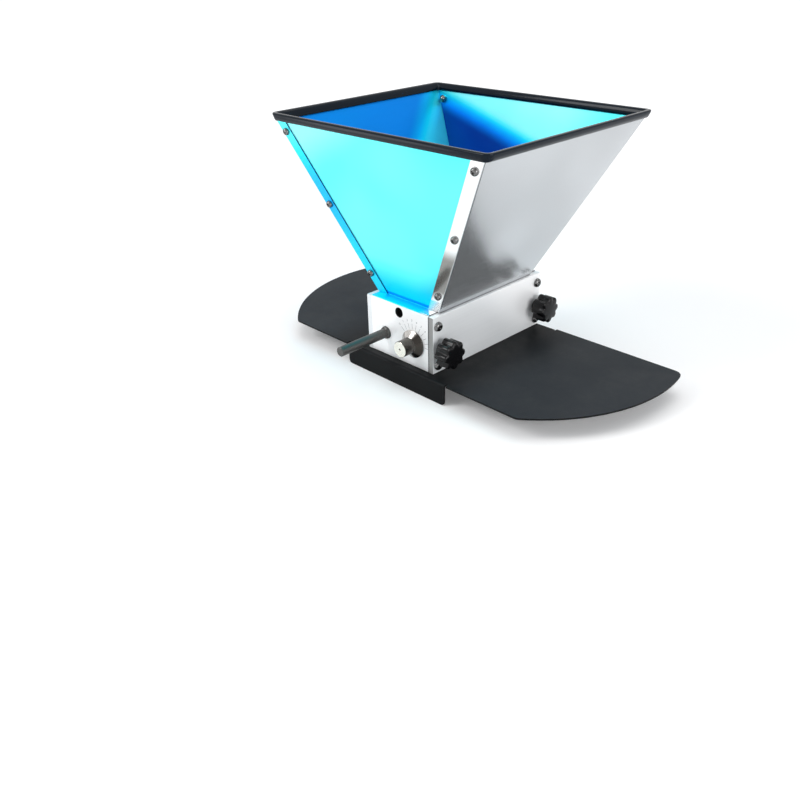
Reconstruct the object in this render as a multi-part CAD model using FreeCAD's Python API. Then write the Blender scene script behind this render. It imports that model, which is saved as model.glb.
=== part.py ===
import FreeCAD, Part
import math
import os

# Two-roller malt mill with a sheet-metal hopper on a winged base plate.
# Millimetres. The rollers lie along Y, the drive shaft leaves towards -Y, and Z is up.
# The mill is drawn round the middle of its body, with z = 0 on top of the base plate,
# and is moved at the end so that the row frame's origin is the bottom centre of its box.

# Rollers and the gap between them
ROLLER_D = 36.0              # over the teeth
ROLLER_LENGTH = 127.0
ROLLER_TEETH = 36
TOOTH_DEPTH = 0.5
MID_GAP = 1.4                # roller to roller, dials in the middle of their scale
ECCENTRIC = 1.2              # idler axis to dial axis

# Shafts and bushes
DRIVE_D = 9.5                # free end that a chuck grips
DRIVE_OUT = 60.0             # free end beyond the body
COLLAR_OUT = 2.5             # journal that shows in front of the body
JOURNAL_D = 12.0
CORE_D = 14.0                # shaft inside its roller
BUSH_WALL = 3.0
BUSH_LENGTH = 11.0
SLEEVE_WALL = 2.0
SLEEVE_LENGTH = 12.0

# Mill body
END_PLATE = 16.0
SIDE_PLATE = 6.0
ROLLER_END_PLAY = 0.5
ROLLER_SIDE_ROOM = 2.3       # roller to side plate
ROLLER_UNDER_ROOM = 6.0      # roller to base plate
THROAT_HEIGHT = 15.5         # roller top to hopper foot
EDGE_BREAK = 0.5

# Dial on each end of the idler roller
SPIGOT_D = 24.0
DIAL_FLANGE_D = 27.8
DIAL_RIM = 1.4
DIAL_BEVEL = 4.2
DIAL_HANDLE_D = 16.0
DIAL_HANDLE = 12.4
DIAL_SIDES = 36
GROOVE_DEPTH = 1.5
GROOVE_PLAY = 0.3

# Clamp screws with star knobs
STUD_D = 6.0
PAD_LENGTH = 4.0
KNOB_D = 28.0
KNOB_LOBES = 8
KNOB_SCALLOP = 2.6           # depth of the hollows between the lobes
KNOB_STEPS = 4               # sides per lobe
KNOB_HEAD = 15.5
KNOB_DOME = 1.8              # fall of the face from its flat middle to the lobes
KNOB_FACE = 0.55             # flat middle's size to the head's
KNOB_NECK_D = 13.0
KNOB_NECK = 5.0
KNOB_NECK_SIDES = 16
CLEAR_SIDES = 12             # holes that only clear a round screw
KNOB_STANDOFF = 1.5
STUD_IN_KNOB = 12.0

# Fasteners, with few sides because they repeat
HEAD_SIDES = 8
SHANK_SIDES = 6
PLATE_SCREW_D = 5.0
PLATE_SCREW_HEAD_D = 9.5
PLATE_SCREW_HEAD = 3.6
PLATE_SCREW_BITE = 12.0      # thread in the end plate
PLATE_SCREW_INSET = 6.0      # from the body's end
PLATE_SCREW_LOW = 8.0        # above the base plate
PLATE_SCREW_HIGH = 9.5       # below the body's top
BASE_SCREW_BITE = 9.0
BASE_SCREW_HEAD_D = 9.5
BASE_SCREW_HEAD = 2.7
BASE_SCREW_SPREAD = 40.0
TIE_ROD_D = 10.0
TIE_ROD_DROP = 7.0           # axis below the body's top
TIE_SCREW_D = 5.0
TIE_SCREW_HEAD_D = 8.5
TIE_SCREW_HEAD = 5.0
TIE_SCREW_SOCKET = 4.0       # across flats
TIE_COUNTERBORE_D = 10.0
TIE_COUNTERBORE = 9.0
HOPPER_SCREW_D = 4.0
HOPPER_SCREW_HEAD_D = 8.0
HOPPER_SCREW_HEAD = 2.8
HOPPER_NUT_FLATS = 7.0
HOPPER_NUT = 3.2
HOPPER_NUT_CAP_D = 6.2
HOPPER_NUT_CAP = 2.2
HOPPER_SCREWS_PER_CORNER = 3
HOPPER_SCREW_FIRST = 20.0    # above the hopper's foot
HOPPER_SCREW_LAST = 13.5     # below the hopper's top edge

# Hopper
SHEET = 1.0
HOPPER_HEIGHT = 163.5
MOUTH_X = 259.0              # over the sheet, at its top edge
MOUTH_Y = 220.0
SIDE_SHELF = 4.0             # body top left bare beside the hopper
FOOT_SHELF = 13.0            # body top in front of and behind the hopper
FOOT_FLANGE = 12.0
CORNER_FLANGE = 14.0
SHEET_BEND = 1.6             # outside radius of a fold
RIM_GRIP = 6.0               # trim below the sheet's top edge
RIM_COVER = 2.5              # trim above the sheet's top edge
RIM_WALL = 2.75
RIM_ROUND = 2.5
RIM_ROUND_STEPS = 3
RIM_CORNER = 5.0
RIM_CORNER_STEPS = 4

# Base plate
BASE_SHEET = 2.0
BASE_FRONT = 9.0             # in front of the body
BASE_REAR = 2.0              # behind the body
WING_RADIUS = 158.0
WING_CENTRE_X = 60.0
WING_CENTRE_Y = 40.0
WING_CORNER = 9.0
SKIRT_LENGTH = 134.0
SKIRT_DEPTH = 20.0           # below the plate
SKIRT_BEND = 3.0
SKIRT_CORNER = 4.0
RELIEF_WIDTH = 2.0
RELIEF_DEPTH = 4.0
OUTLET_LEDGE_X = 3.0         # plate inside the side plates
OUTLET_LEDGE_Y = 3.0
OUTLET_CORNER = 4.0

PARALLEL = 1e-6              # sine of the angle under which an edge counts as parallel

# Clearances, on the radius for round fits
RUNNING_FIT = 0.04
PRESS_FIT = 0.02
SCREW_FIT = 0.25
SHAFT_ROOM = 0.3
DIAL_LIFT = 0.2
PAD_LIFT = 0.15
PAD_ROOM = 0.1
SHEET_GAP = 0.1

# Worked out from the values above
roller_r = ROLLER_D / 2
axis_z = roller_r + ROLLER_UNDER_ROOM
axis_x = (ROLLER_D + MID_GAP) / 2
idler_z = axis_z - ECCENTRIC
cavity_x = axis_x + roller_r + ROLLER_SIDE_ROOM
cavity_y = ROLLER_LENGTH / 2 + ROLLER_END_PLAY
body_x = cavity_x + SIDE_PLATE
body_y = cavity_y + END_PLATE
body_z = axis_z + roller_r + THROAT_HEIGHT
journal_r = JOURNAL_D / 2
bush_r = journal_r + RUNNING_FIT + BUSH_WALL
sleeve_r = journal_r + RUNNING_FIT + SLEEVE_WALL
spigot_r = SPIGOT_D / 2
groove_r = spigot_r - GROOVE_DEPTH
clamp_y = body_y - END_PLATE / 2
stud_r = STUD_D / 2
pad_r = stud_r - PAD_ROOM
pad_x = axis_x + groove_r + PAD_LIFT
stud_x = pad_x + PAD_LENGTH
knob_x = body_x + KNOB_STANDOFF
tie_z = body_z - TIE_ROD_DROP
plate_screw_y = body_y - PLATE_SCREW_INSET
foot_x = body_x - SIDE_SHELF
foot_y = body_y - FOOT_SHELF
sheet_top = body_z + HOPPER_HEIGHT
rise_x = (MOUTH_X / 2 - foot_x) / HOPPER_HEIGHT
rise_y = (MOUTH_Y / 2 - foot_y) / HOPPER_HEIGHT
slope_y = math.hypot(1, rise_y)
rim_bottom = sheet_top - RIM_GRIP
rim_top = sheet_top + RIM_COVER
base_front = -body_y - BASE_FRONT
base_rear = body_y + BASE_REAR
floor_z = -BASE_SHEET - SKIRT_DEPTH


def vec(x, y, z):
    return FreeCAD.Vector(x, y, z)


def block(x0, x1, y0, y1, z0, z1):
    return Part.makeBox(x1 - x0, y1 - y0, z1 - z0, vec(x0, y0, z0))


def rod_x(radius, x0, x1, y, z):
    return Part.makeCylinder(radius, x1 - x0, vec(x0, y, z), vec(1, 0, 0))


def rod_y(radius, y0, y1, x, z):
    return Part.makeCylinder(radius, y1 - y0, vec(x, y0, z), vec(0, 1, 0))


def bar(sides, radius, start, way, length):
    """Many-sided bar from start along way, measured over its corners."""
    turns = [2 * math.pi * i / sides for i in range(sides)]
    points = [vec(radius * math.cos(turn), radius * math.sin(turn), 0) for turn in turns]
    shape = Part.Face(Part.makePolygon(points + points[:1])).extrude(vec(0, 0, length))
    shape.Placement = FreeCAD.Placement(start, FreeCAD.Rotation(vec(0, 0, 1), way))
    return shape


def clear_bar(radius, start, way, length):
    """Many-sided bar that leaves room for a round one."""
    return bar(CLEAR_SIDES, radius / math.cos(math.pi / CLEAR_SIDES), start, way, length)


def skinned(rings):
    """Solid through closed outlines, each anticlockwise when seen from the last one's side."""
    outlines = [rings[0][::-1], rings[-1]]
    for low, high in zip(rings, rings[1:]):
        for i in range(len(low)):
            outlines.append([low[i - 1], low[i], high[i], high[i - 1]])
    faces = [Part.Face(Part.makePolygon(outline + outline[:1])) for outline in outlines]
    return Part.makeSolid(Part.makeShell(faces))


def tube_y(outer, inner, y0, y1, x, z):
    return rod_y(outer, y0, y1, x, z).cut(rod_y(inner, y0, y1, x, z))


def turned_y(profile, x, z):
    """Turn a closed (radius, y) profile about the axis along Y through x, z."""
    points = [vec(x + r, y, z) for r, y in profile]
    face = Part.Face(Part.makePolygon(points + points[:1]))
    return face.revolve(vec(x, 0, z), vec(0, 1, 0), 360)


def behind(shape):
    """The same piece at the other end of the mill."""
    return shape.mirror(vec(0, 0, 0), vec(0, 1, 0))


def left(shape):
    """The same piece on the other side of the mill."""
    return shape.mirror(vec(0, 0, 0), vec(1, 0, 0))


def edges_along(shape, direction, test):
    """Straight edges parallel to a direction whose middle passes the test."""
    found = []
    for edge in shape.Edges:
        if not isinstance(edge.Curve, Part.Line):
            continue
        run = edge.Vertexes[-1].Point - edge.Vertexes[0].Point
        if run.Length > 0 and run.normalize().cross(direction).Length < PARALLEL and test(edge.CenterOfMass):
            found.append(edge)
    return found


# Body


def end_plate(shaft_through):
    """Front end plate: bush pocket, dial bore, tie-rod counterbore and tapped holes."""
    plate = block(-cavity_x, cavity_x, -body_y, -cavity_y, 0, body_z)
    outside = edges_along(plate, vec(1, 0, 0), lambda p: p.y < -body_y + EDGE_BREAK)
    plate = plate.makeChamfer(EDGE_BREAK, outside)
    cuts = [
        rod_y(bush_r + PRESS_FIT, -cavity_y - BUSH_LENGTH, -cavity_y, -axis_x, axis_z),
        rod_y(spigot_r + RUNNING_FIT, -body_y, -cavity_y, axis_x, axis_z),
        bar(SHANK_SIDES, TIE_SCREW_D / 2 + SCREW_FIT, vec(0, -body_y, tie_z), vec(0, 1, 0), END_PLATE),
        rod_y(TIE_COUNTERBORE_D / 2, -body_y, -body_y + TIE_COUNTERBORE, 0, tie_z),
        rod_x(stud_r + RUNNING_FIT, axis_x, cavity_x, -clamp_y, axis_z),
    ]
    if shaft_through:
        cuts.append(rod_y(journal_r + SHAFT_ROOM, -body_y, -cavity_y, -axis_x, axis_z))
    tapped = PLATE_SCREW_D / 2 + PRESS_FIT
    for z in plate_screw_heights():
        for side in (-1, 1):
            cuts.append(bar(SHANK_SIDES, tapped, vec(side * cavity_x, -plate_screw_y, z), vec(-side, 0, 0),
                            PLATE_SCREW_BITE))
    for x in base_screw_rows():
        cuts.append(bar(SHANK_SIDES, tapped, vec(x, -clamp_y, 0), vec(0, 0, 1), BASE_SCREW_BITE))
    return plate.cut(cuts)


def side_plate(clamped):
    """Right side plate, which laps over both end plates."""
    plate = block(cavity_x, body_x, -body_y, body_y, 0, body_z)
    outside = edges_along(plate, vec(0, 1, 0), lambda p: p.x > body_x - EDGE_BREAK)
    outside += edges_along(plate, vec(0, 0, 1), lambda p: p.x > body_x - EDGE_BREAK)
    plate = plate.makeChamfer(EDGE_BREAK, outside)
    hole = PLATE_SCREW_D / 2 + SCREW_FIT
    cuts = [bar(SHANK_SIDES, hole, vec(body_x, y, z), vec(-1, 0, 0), SIDE_PLATE)
            for y in (-plate_screw_y, plate_screw_y) for z in plate_screw_heights()]
    if clamped:
        cuts += [clear_bar(stud_r + SCREW_FIT, vec(cavity_x, y, axis_z), vec(1, 0, 0), SIDE_PLATE)
                 for y in (-clamp_y, clamp_y)]
    return plate.cut(cuts)


def plate_screw_heights():
    return PLATE_SCREW_LOW, body_z - PLATE_SCREW_HIGH


def base_screw_rows():
    return -BASE_SCREW_SPREAD / 2, BASE_SCREW_SPREAD / 2


def tie_rod():
    """Spacer rod between the end plates, tapped at both ends."""
    rod = rod_y(TIE_ROD_D / 2, -cavity_y, cavity_y, 0, tie_z)
    tapped = TIE_SCREW_D / 2 + PRESS_FIT
    return rod.cut([bar(SHANK_SIDES, tapped, vec(0, end * cavity_y, tie_z), vec(0, -end, 0), PLATE_SCREW_BITE)
                    for end in (-1, 1)])


# Rollers, shafts and bushes


def roller(x, z, bore_r):
    """Roller with straight V teeth."""
    half = ROLLER_LENGTH / 2
    points = []
    for i in range(2 * ROLLER_TEETH):
        radius = roller_r - TOOTH_DEPTH * (i % 2)
        turn = math.pi * i / ROLLER_TEETH
        points.append(vec(x + radius * math.cos(turn), -half, z + radius * math.sin(turn)))
    toothed = Part.Face(Part.makePolygon(points + points[:1])).extrude(vec(0, ROLLER_LENGTH, 0))
    return toothed.cut(rod_y(bore_r, -half, half, x, z))


def drive_shaft():
    """Shaft through the drive roller, from the free end to the rear bush."""
    free = -body_y - DRIVE_OUT
    step = -body_y - COLLAR_OUT
    tail = cavity_y + BUSH_LENGTH - ROLLER_END_PLAY
    half = ROLLER_LENGTH / 2
    drive_r = DRIVE_D / 2
    core_r = CORE_D / 2
    return turned_y([(0, free), (drive_r - EDGE_BREAK, free), (drive_r, free + EDGE_BREAK),
                     (drive_r, step), (journal_r, step), (journal_r, -half), (core_r, -half), (core_r, half),
                     (journal_r, half), (journal_r, tail), (0, tail)], -axis_x, axis_z)


def idler_shaft():
    """Shaft through the idler roller, with a journal in each dial."""
    tail = cavity_y + SLEEVE_LENGTH - ROLLER_END_PLAY
    half = ROLLER_LENGTH / 2
    core_r = CORE_D / 2
    return turned_y([(0, -tail), (journal_r, -tail), (journal_r, -half), (core_r, -half),
                     (core_r, half), (journal_r, half), (journal_r, tail), (0, tail)],
                    axis_x, idler_z)


def drive_bush():
    """Plain bush in the front end plate's pocket."""
    return tube_y(bush_r, journal_r + RUNNING_FIT, -cavity_y - BUSH_LENGTH, -cavity_y, -axis_x, axis_z)


# Gap adjustment


def dial():
    """Front dial: spigot with an offset bore and a locking groove, bevelled flange, handle."""
    flange_r = DIAL_FLANGE_D / 2
    handle_r = DIAL_HANDLE_D / 2
    groove = stud_r + GROOVE_PLAY
    seat = -body_y - DIAL_LIFT
    rim = seat - DIAL_RIM
    shoulder = rim - DIAL_BEVEL
    face = shoulder - DIAL_HANDLE
    spigot = turned_y([(0, -cavity_y), (spigot_r, -cavity_y),
                       (spigot_r, -clamp_y + groove), (groove_r, -clamp_y + groove),
                       (groove_r, -clamp_y - groove), (spigot_r, -clamp_y - groove),
                       (spigot_r, seat), (0, seat)], axis_x, axis_z)
    head = skinned([dial_outline(radius, y) for radius, y in
                    ((flange_r, seat), (flange_r, rim), (handle_r, shoulder), (handle_r, face))])
    bore = rod_y(sleeve_r + PRESS_FIT, -cavity_y - SLEEVE_LENGTH, -cavity_y, axis_x, idler_z)
    return spigot.fuse(head).removeSplitter().cut(bore)


def dial_outline(radius, y):
    """Many-sided outline across the dial's axis."""
    turns = [2 * math.pi * i / DIAL_SIDES for i in range(DIAL_SIDES)]
    return [vec(axis_x + radius * math.cos(turn), y, axis_z + radius * math.sin(turn)) for turn in turns]


def idler_sleeve():
    """Bearing sleeve in the front dial's offset bore."""
    return tube_y(sleeve_r, journal_r + RUNNING_FIT, -cavity_y - SLEEVE_LENGTH, -cavity_y, axis_x, idler_z)


def clamp_pad():
    """Soft pad between the front clamp screw and the dial's groove."""
    return rod_x(pad_r, pad_x, stud_x, -clamp_y, axis_z)


def clamp_stud():
    """Front clamp screw, from the pad into the star knob."""
    end = knob_x + KNOB_NECK + STUD_IN_KNOB
    return rod_x(stud_r, stud_x, end, -clamp_y, axis_z)


def star_knob():
    """Front star knob: lobed head with a sloped crown, on a neck."""
    head_x = knob_x + KNOB_NECK
    end_x = head_x + KNOB_HEAD
    edge_x = end_x - KNOB_DOME
    head = skinned([knob_outline(head_x, 1.0), knob_outline(edge_x, 1.0), knob_outline(end_x, KNOB_FACE)])
    neck = bar(KNOB_NECK_SIDES, KNOB_NECK_D / 2, vec(knob_x, 0, 0), vec(1, 0, 0), KNOB_NECK)
    bore = clear_bar(stud_r + PRESS_FIT, vec(knob_x, 0, 0), vec(1, 0, 0), KNOB_NECK + STUD_IN_KNOB)
    knob = head.fuse(neck).removeSplitter().cut(bore)
    knob.translate(vec(0, -clamp_y, axis_z))
    return knob


def knob_outline(x, size):
    """Lobed outline across X, with hollows narrower than its lobes."""
    points = []
    for i in range(KNOB_LOBES * KNOB_STEPS):
        turn = 2 * math.pi * i / (KNOB_LOBES * KNOB_STEPS)
        hollow = abs(math.sin(KNOB_LOBES * turn / 2)) ** 3
        radius = size * (KNOB_D / 2 - KNOB_SCALLOP * hollow)
        points.append(vec(x, radius * math.cos(turn), radius * math.sin(turn)))
    return points


# Fasteners


def screw(seat, out, shank_r, length, head_r, head):
    """Screw whose head stands on seat and faces out."""
    shank = bar(SHANK_SIDES, shank_r, seat, out * -1, length)
    return bar(HEAD_SIDES, head_r, seat, out, head).fuse(shank)


def plate_screws():
    """Eight screws through the side plates into the end plates."""
    found = []
    for side in (-1, 1):
        for end in (-1, 1):
            for z in plate_screw_heights():
                found.append(screw(vec(side * body_x, end * plate_screw_y, z), vec(side, 0, 0),
                                   PLATE_SCREW_D / 2, SIDE_PLATE + PLATE_SCREW_BITE - EDGE_BREAK,
                                   PLATE_SCREW_HEAD_D / 2, PLATE_SCREW_HEAD))
    return Part.makeCompound(found)


def base_screws():
    """Four screws from under the base plate into the end plates."""
    found = []
    for end in (-1, 1):
        for x in base_screw_rows():
            found.append(screw(vec(x, end * clamp_y, -BASE_SHEET), vec(0, 0, -1), PLATE_SCREW_D / 2,
                               BASE_SHEET + BASE_SCREW_BITE - EDGE_BREAK,
                               BASE_SCREW_HEAD_D / 2, BASE_SCREW_HEAD))
    return Part.makeCompound(found)


def tie_screws():
    """Two socket screws sunk in the end plates that hold the tie rod."""
    seat = vec(0, -body_y + TIE_COUNTERBORE, tie_z)
    out = vec(0, -1, 0)
    length = END_PLATE - TIE_COUNTERBORE + PLATE_SCREW_BITE - EDGE_BREAK
    front = screw(seat, out, TIE_SCREW_D / 2, length, TIE_SCREW_HEAD_D / 2, TIE_SCREW_HEAD)
    socket = bar(6, TIE_SCREW_SOCKET / math.sqrt(3), seat + out * TIE_SCREW_HEAD, out * -1, TIE_SCREW_HEAD / 2)
    front = front.removeSplitter().cut(socket)
    return Part.makeCompound([front, behind(front)])


def hopper_screw_seats(offset):
    """Points that far out of the front and rear hopper faces, and the way out of each face."""
    seats = []
    pitch = (HOPPER_HEIGHT - HOPPER_SCREW_FIRST - HOPPER_SCREW_LAST) / (HOPPER_SCREWS_PER_CORNER - 1)
    for side in (-1, 1):
        for end in (-1, 1):
            out = vec(0, end / slope_y, -rise_y / slope_y)
            for i in range(HOPPER_SCREWS_PER_CORNER):
                z = body_z + HOPPER_SCREW_FIRST + i * pitch
                x = lean(z, foot_x, rise_x, 0) - CORNER_FLANGE / 2
                y = lean(z, foot_y, rise_y, 0)
                seats.append((vec(side * x, end * y, z) + out * offset, out))
    return seats


def hopper_screws():
    """Twelve screws that hold the corner flanges to the front and rear panels."""
    length = 2 * SHEET + HOPPER_NUT
    return Part.makeCompound([screw(seat, out, HOPPER_SCREW_D / 2, length,
                                    HOPPER_SCREW_HEAD_D / 2, HOPPER_SCREW_HEAD)
                              for seat, out in hopper_screw_seats(SHEET)])


def hopper_nuts():
    """Twelve cap nuts inside the hopper."""
    nuts = []
    for seat, out in hopper_screw_seats(-SHEET):
        way = out * -1
        nut = bar(6, HOPPER_NUT_FLATS / math.sqrt(3), seat, way, HOPPER_NUT)
        cap = bar(HEAD_SIDES, HOPPER_NUT_CAP_D / 2, seat + way * HOPPER_NUT, way, HOPPER_NUT_CAP)
        bore = bar(SHANK_SIDES, HOPPER_SCREW_D / 2 + PRESS_FIT, seat, way, HOPPER_NUT)
        nuts.append(nut.fuse(cap).cut(bore))
    return Part.makeCompound(nuts)


# Hopper


def lean(z, foot, rise, offset):
    """Half width of a leaning hopper face at height z, offset square to the face."""
    return foot + rise * (z - body_z) + offset * math.hypot(1, rise)


def leaning(x_faces, y_faces, z0, z1):
    """Solid between two leaning x faces, two leaning y faces and two levels.

    Each face is a function of z.
    """
    rings = []
    for z in (z0, z1):
        x0, x1 = sorted(face(z) for face in x_faces)
        y0, y1 = sorted(face(z) for face in y_faces)
        rings.append([vec(x0, y0, z), vec(x1, y0, z), vec(x1, y1, z), vec(x0, y1, z)])
    return skinned(rings)


def face_x(side, offset, inset=0.0):
    return lambda z: side * (lean(z, foot_x, rise_x, offset) - inset)


def face_y(side, offset):
    return lambda z: side * lean(z, foot_y, rise_y, offset)


def screw_holes():
    radius = HOPPER_SCREW_D / 2 + SCREW_FIT
    return [bar(SHANK_SIDES, radius, seat, out * -1, 2 * SHEET) for seat, out in hopper_screw_seats(SHEET)]


def side_panel():
    """Right hopper panel, folded at both edges over the front and rear panels."""
    flange_low = body_z + SHEET + SHEET_GAP
    flange_high = rim_bottom - SHEET_GAP
    panel = leaning((face_x(1, -SHEET), face_x(1, 0)), (face_y(-1, 0), face_y(1, 0)), body_z, sheet_top)
    for end in (-1, 1):
        flange = leaning((face_x(1, 0, CORNER_FLANGE), face_x(1, 0)),
                         (face_y(end, 0), face_y(end, SHEET)), flange_low, flange_high)
        panel = panel.fuse(flange)
    panel = panel.removeSplitter()
    folds = []
    for edge in panel.Edges:
        middle = edge.CenterOfMass
        outer_x = abs(middle.x - lean(middle.z, foot_x, rise_x, 0)) < SHEET_GAP
        outer_y = abs(abs(middle.y) - lean(middle.z, foot_y, rise_y, SHEET)) < SHEET_GAP
        if outer_x and outer_y and edge.Length > HOPPER_HEIGHT / 2:
            folds.append(edge)
    return panel.makeFillet(SHEET_BEND, folds).cut(screw_holes())


def end_panel():
    """Front hopper panel with a foot flange that lies on the end plate."""
    fit = SHEET + SHEET_GAP
    panel = leaning((face_x(-1, -fit), face_x(1, -fit)), (face_y(-1, 0), face_y(-1, -SHEET)),
                    body_z, sheet_top)
    half = foot_x - SHEET - SHEET_BEND
    foot = block(-half, half, -foot_y - FOOT_FLANGE, -foot_y + SHEET / 2, body_z, body_z + SHEET)
    return panel.fuse(foot).removeSplitter().cut(screw_holes())


def hopper_block(offset, z0, z1):
    """Solid inside the four hopper faces, moved out by an offset."""
    return leaning((face_x(-1, offset), face_x(1, offset)), (face_y(-1, offset), face_y(1, offset)), z0, z1)


def rim_rounding():
    """Heights of the trim's rounded top, and how far its walls have come in there."""
    found = []
    for step in range(RIM_ROUND_STEPS + 1):
        turn = math.pi / 2 * step / RIM_ROUND_STEPS
        found.append((rim_top - RIM_ROUND + RIM_ROUND * math.sin(turn), RIM_ROUND * (1 - math.cos(turn))))
    return found


def rim_outline(z, inset):
    """Outside of the trim at a height, with rounded corners."""
    x = lean(z, foot_x, rise_x, RIM_WALL - inset)
    y = lean(z, foot_y, rise_y, RIM_WALL - inset)
    corner = RIM_CORNER - inset
    points = []
    for i in range(4):
        side_x = 1 if i in (0, 3) else -1
        side_y = 1 if i < 2 else -1
        for step in range(RIM_CORNER_STEPS + 1):
            turn = math.pi / 2 * (i + step / RIM_CORNER_STEPS)
            points.append(vec(side_x * (x - corner) + corner * math.cos(turn),
                              side_y * (y - corner) + corner * math.sin(turn), z))
    return points


def mouth_outline(z, offset):
    """Outline of the four leaning faces at a height, with sharp corners."""
    x = lean(z, foot_x, rise_x, offset)
    y = lean(z, foot_y, rise_y, offset)
    return [vec(-x, -y, z), vec(x, -y, z), vec(x, y, z), vec(-x, y, z)]


def rim_trim():
    """Rubber edge trim round the mouth, slotted for the sheet."""
    rounding = rim_rounding()
    outside = skinned([rim_outline(z, inset) for z, inset in [(rim_bottom, 0)] + rounding])
    inner = -SHEET - RIM_WALL
    mouth = skinned([mouth_outline(z, inner + inset) for z, inset in [(rim_bottom, 0)] + rounding])
    slot_top = sheet_top + PRESS_FIT
    slot = hopper_block(PRESS_FIT, rim_bottom, slot_top)
    return outside.cut(mouth).cut(slot.cut(hopper_block(-SHEET - PRESS_FIT, rim_bottom, slot_top)))


# Base plate


def base_plate():
    """Winged plate with a skirt folded down in front and behind, and the grain outlet."""
    plate = wing_outline().extrude(vec(0, 0, -BASE_SHEET))
    corners = edges_along(plate, vec(0, 0, 1), lambda p: True)
    plate = plate.makeFillet(WING_CORNER, corners)
    half = SKIRT_LENGTH / 2
    for y, inward in ((base_front, 1), (base_rear, -1)):
        low, high = sorted((y, y + inward * BASE_SHEET))
        skirt = block(-half, half, low, high, floor_z, 0)
        ends = edges_along(skirt, vec(0, 1, 0), lambda p: p.z < floor_z + EDGE_BREAK)
        plate = plate.fuse(skirt.makeFillet(SKIRT_CORNER, ends))
        low, high = sorted((y, y + inward * RELIEF_DEPTH))
        plate = plate.cut([block(-half - RELIEF_WIDTH, -half, low, high, -BASE_SHEET, 0),
                           block(half, half + RELIEF_WIDTH, low, high, -BASE_SHEET, 0)])
    plate = plate.removeSplitter()
    plate = plate.makeFillet(SKIRT_BEND, edges_along(plate, vec(1, 0, 0), on_fold(0)))
    plate = plate.makeFillet(SKIRT_BEND - BASE_SHEET, edges_along(plate, vec(1, 0, 0), on_fold(BASE_SHEET)))
    cuts = [outlet()]
    for end in (-1, 1):
        for x in base_screw_rows():
            cuts.append(bar(SHANK_SIDES, PLATE_SCREW_D / 2 + SCREW_FIT, vec(x, end * clamp_y, -BASE_SHEET),
                            vec(0, 0, 1), BASE_SHEET))
    return plate.cut(cuts)


def on_fold(depth):
    """Test for the edge of a skirt's fold, on its outside (0) or inside (one sheet in)."""
    def test(p):
        near_front = abs(p.y - base_front - depth) < EDGE_BREAK
        near_rear = abs(p.y - base_rear + depth) < EDGE_BREAK
        return abs(p.x) < SKIRT_LENGTH / 2 and abs(p.z + depth) < EDGE_BREAK and (near_front or near_rear)
    return test


def wing_outline():
    """Straight front and rear edges joined by a round wing on each side."""
    def reach(y):
        return WING_CENTRE_X + math.sqrt(WING_RADIUS ** 2 - (y - WING_CENTRE_Y) ** 2)
    front, rear, tip = reach(base_front), reach(base_rear), WING_CENTRE_X + WING_RADIUS
    edges = [
        Part.LineSegment(vec(-front, base_front, 0), vec(front, base_front, 0)),
        Part.Arc(vec(front, base_front, 0), vec(tip, WING_CENTRE_Y, 0), vec(rear, base_rear, 0)),
        Part.LineSegment(vec(rear, base_rear, 0), vec(-rear, base_rear, 0)),
        Part.Arc(vec(-rear, base_rear, 0), vec(-tip, WING_CENTRE_Y, 0), vec(-front, base_front, 0)),
    ]
    return Part.Face(Part.Wire([edge.toShape() for edge in edges]))


def outlet():
    """Grain outlet under the rollers."""
    x = cavity_x - OUTLET_LEDGE_X
    y = cavity_y - OUTLET_LEDGE_Y
    hole = block(-x, x, -y, y, -BASE_SHEET, 0)
    return hole.makeFillet(OUTLET_CORNER, edges_along(hole, vec(0, 0, 1), lambda p: True))


# Assembly


def rim_reach():
    """How far back the trim reaches, at the widest point of its rounded top."""
    return max(lean(z, foot_y, rise_y, RIM_WALL - inset) for z, inset in rim_rounding())


def frame_shift():
    """From the middle of the body to the bottom centre of the whole mill's box."""
    front = -body_y - DRIVE_OUT
    return vec(0, -(front + rim_reach()) / 2, -floor_z)


def pieces():
    core = CORE_D / 2 + PRESS_FIT
    found = {
        "base_plate": base_plate(),
        "front_end_plate": end_plate(True),
        "rear_end_plate": behind(end_plate(False)),
        "right_side_plate": side_plate(True),
        "left_side_plate": left(side_plate(False)),
        "side_plate_screws": plate_screws(),
        "base_screws": base_screws(),
        "tie_rod": tie_rod(),
        "tie_rod_screws": tie_screws(),
        "front_drive_bush": drive_bush(),
        "rear_drive_bush": behind(drive_bush()),
        "drive_roller": roller(-axis_x, axis_z, core),
        "drive_shaft": drive_shaft(),
        "idler_roller": roller(axis_x, idler_z, core),
        "idler_shaft": idler_shaft(),
        "hopper_front_panel": end_panel(),
        "hopper_rear_panel": behind(end_panel()),
        "hopper_right_panel": side_panel(),
        "hopper_left_panel": left(side_panel()),
        "hopper_screws": hopper_screws(),
        "hopper_cap_nuts": hopper_nuts(),
        "rim_trim": rim_trim(),
    }
    for piece, make in (("gap_dial", dial), ("idler_sleeve", idler_sleeve), ("clamp_pad", clamp_pad),
                        ("clamp_stud", clamp_stud), ("star_knob", star_knob)):
        found["front_" + piece] = make()
        found["rear_" + piece] = behind(make())
    return found


def main():
    os.makedirs("parts", exist_ok=True)
    shift = frame_shift()
    for node, shape in pieces().items():
        shape.translate(shift)
        shape.exportStep("parts/" + node + ".step")


main()
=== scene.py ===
"""Looks of the two-roller malt mill: finishes, turned and knurled pieces, fasteners, scale, studio."""

import math

import bmesh
import bpy
from mathutils import Matrix, Vector


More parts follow.
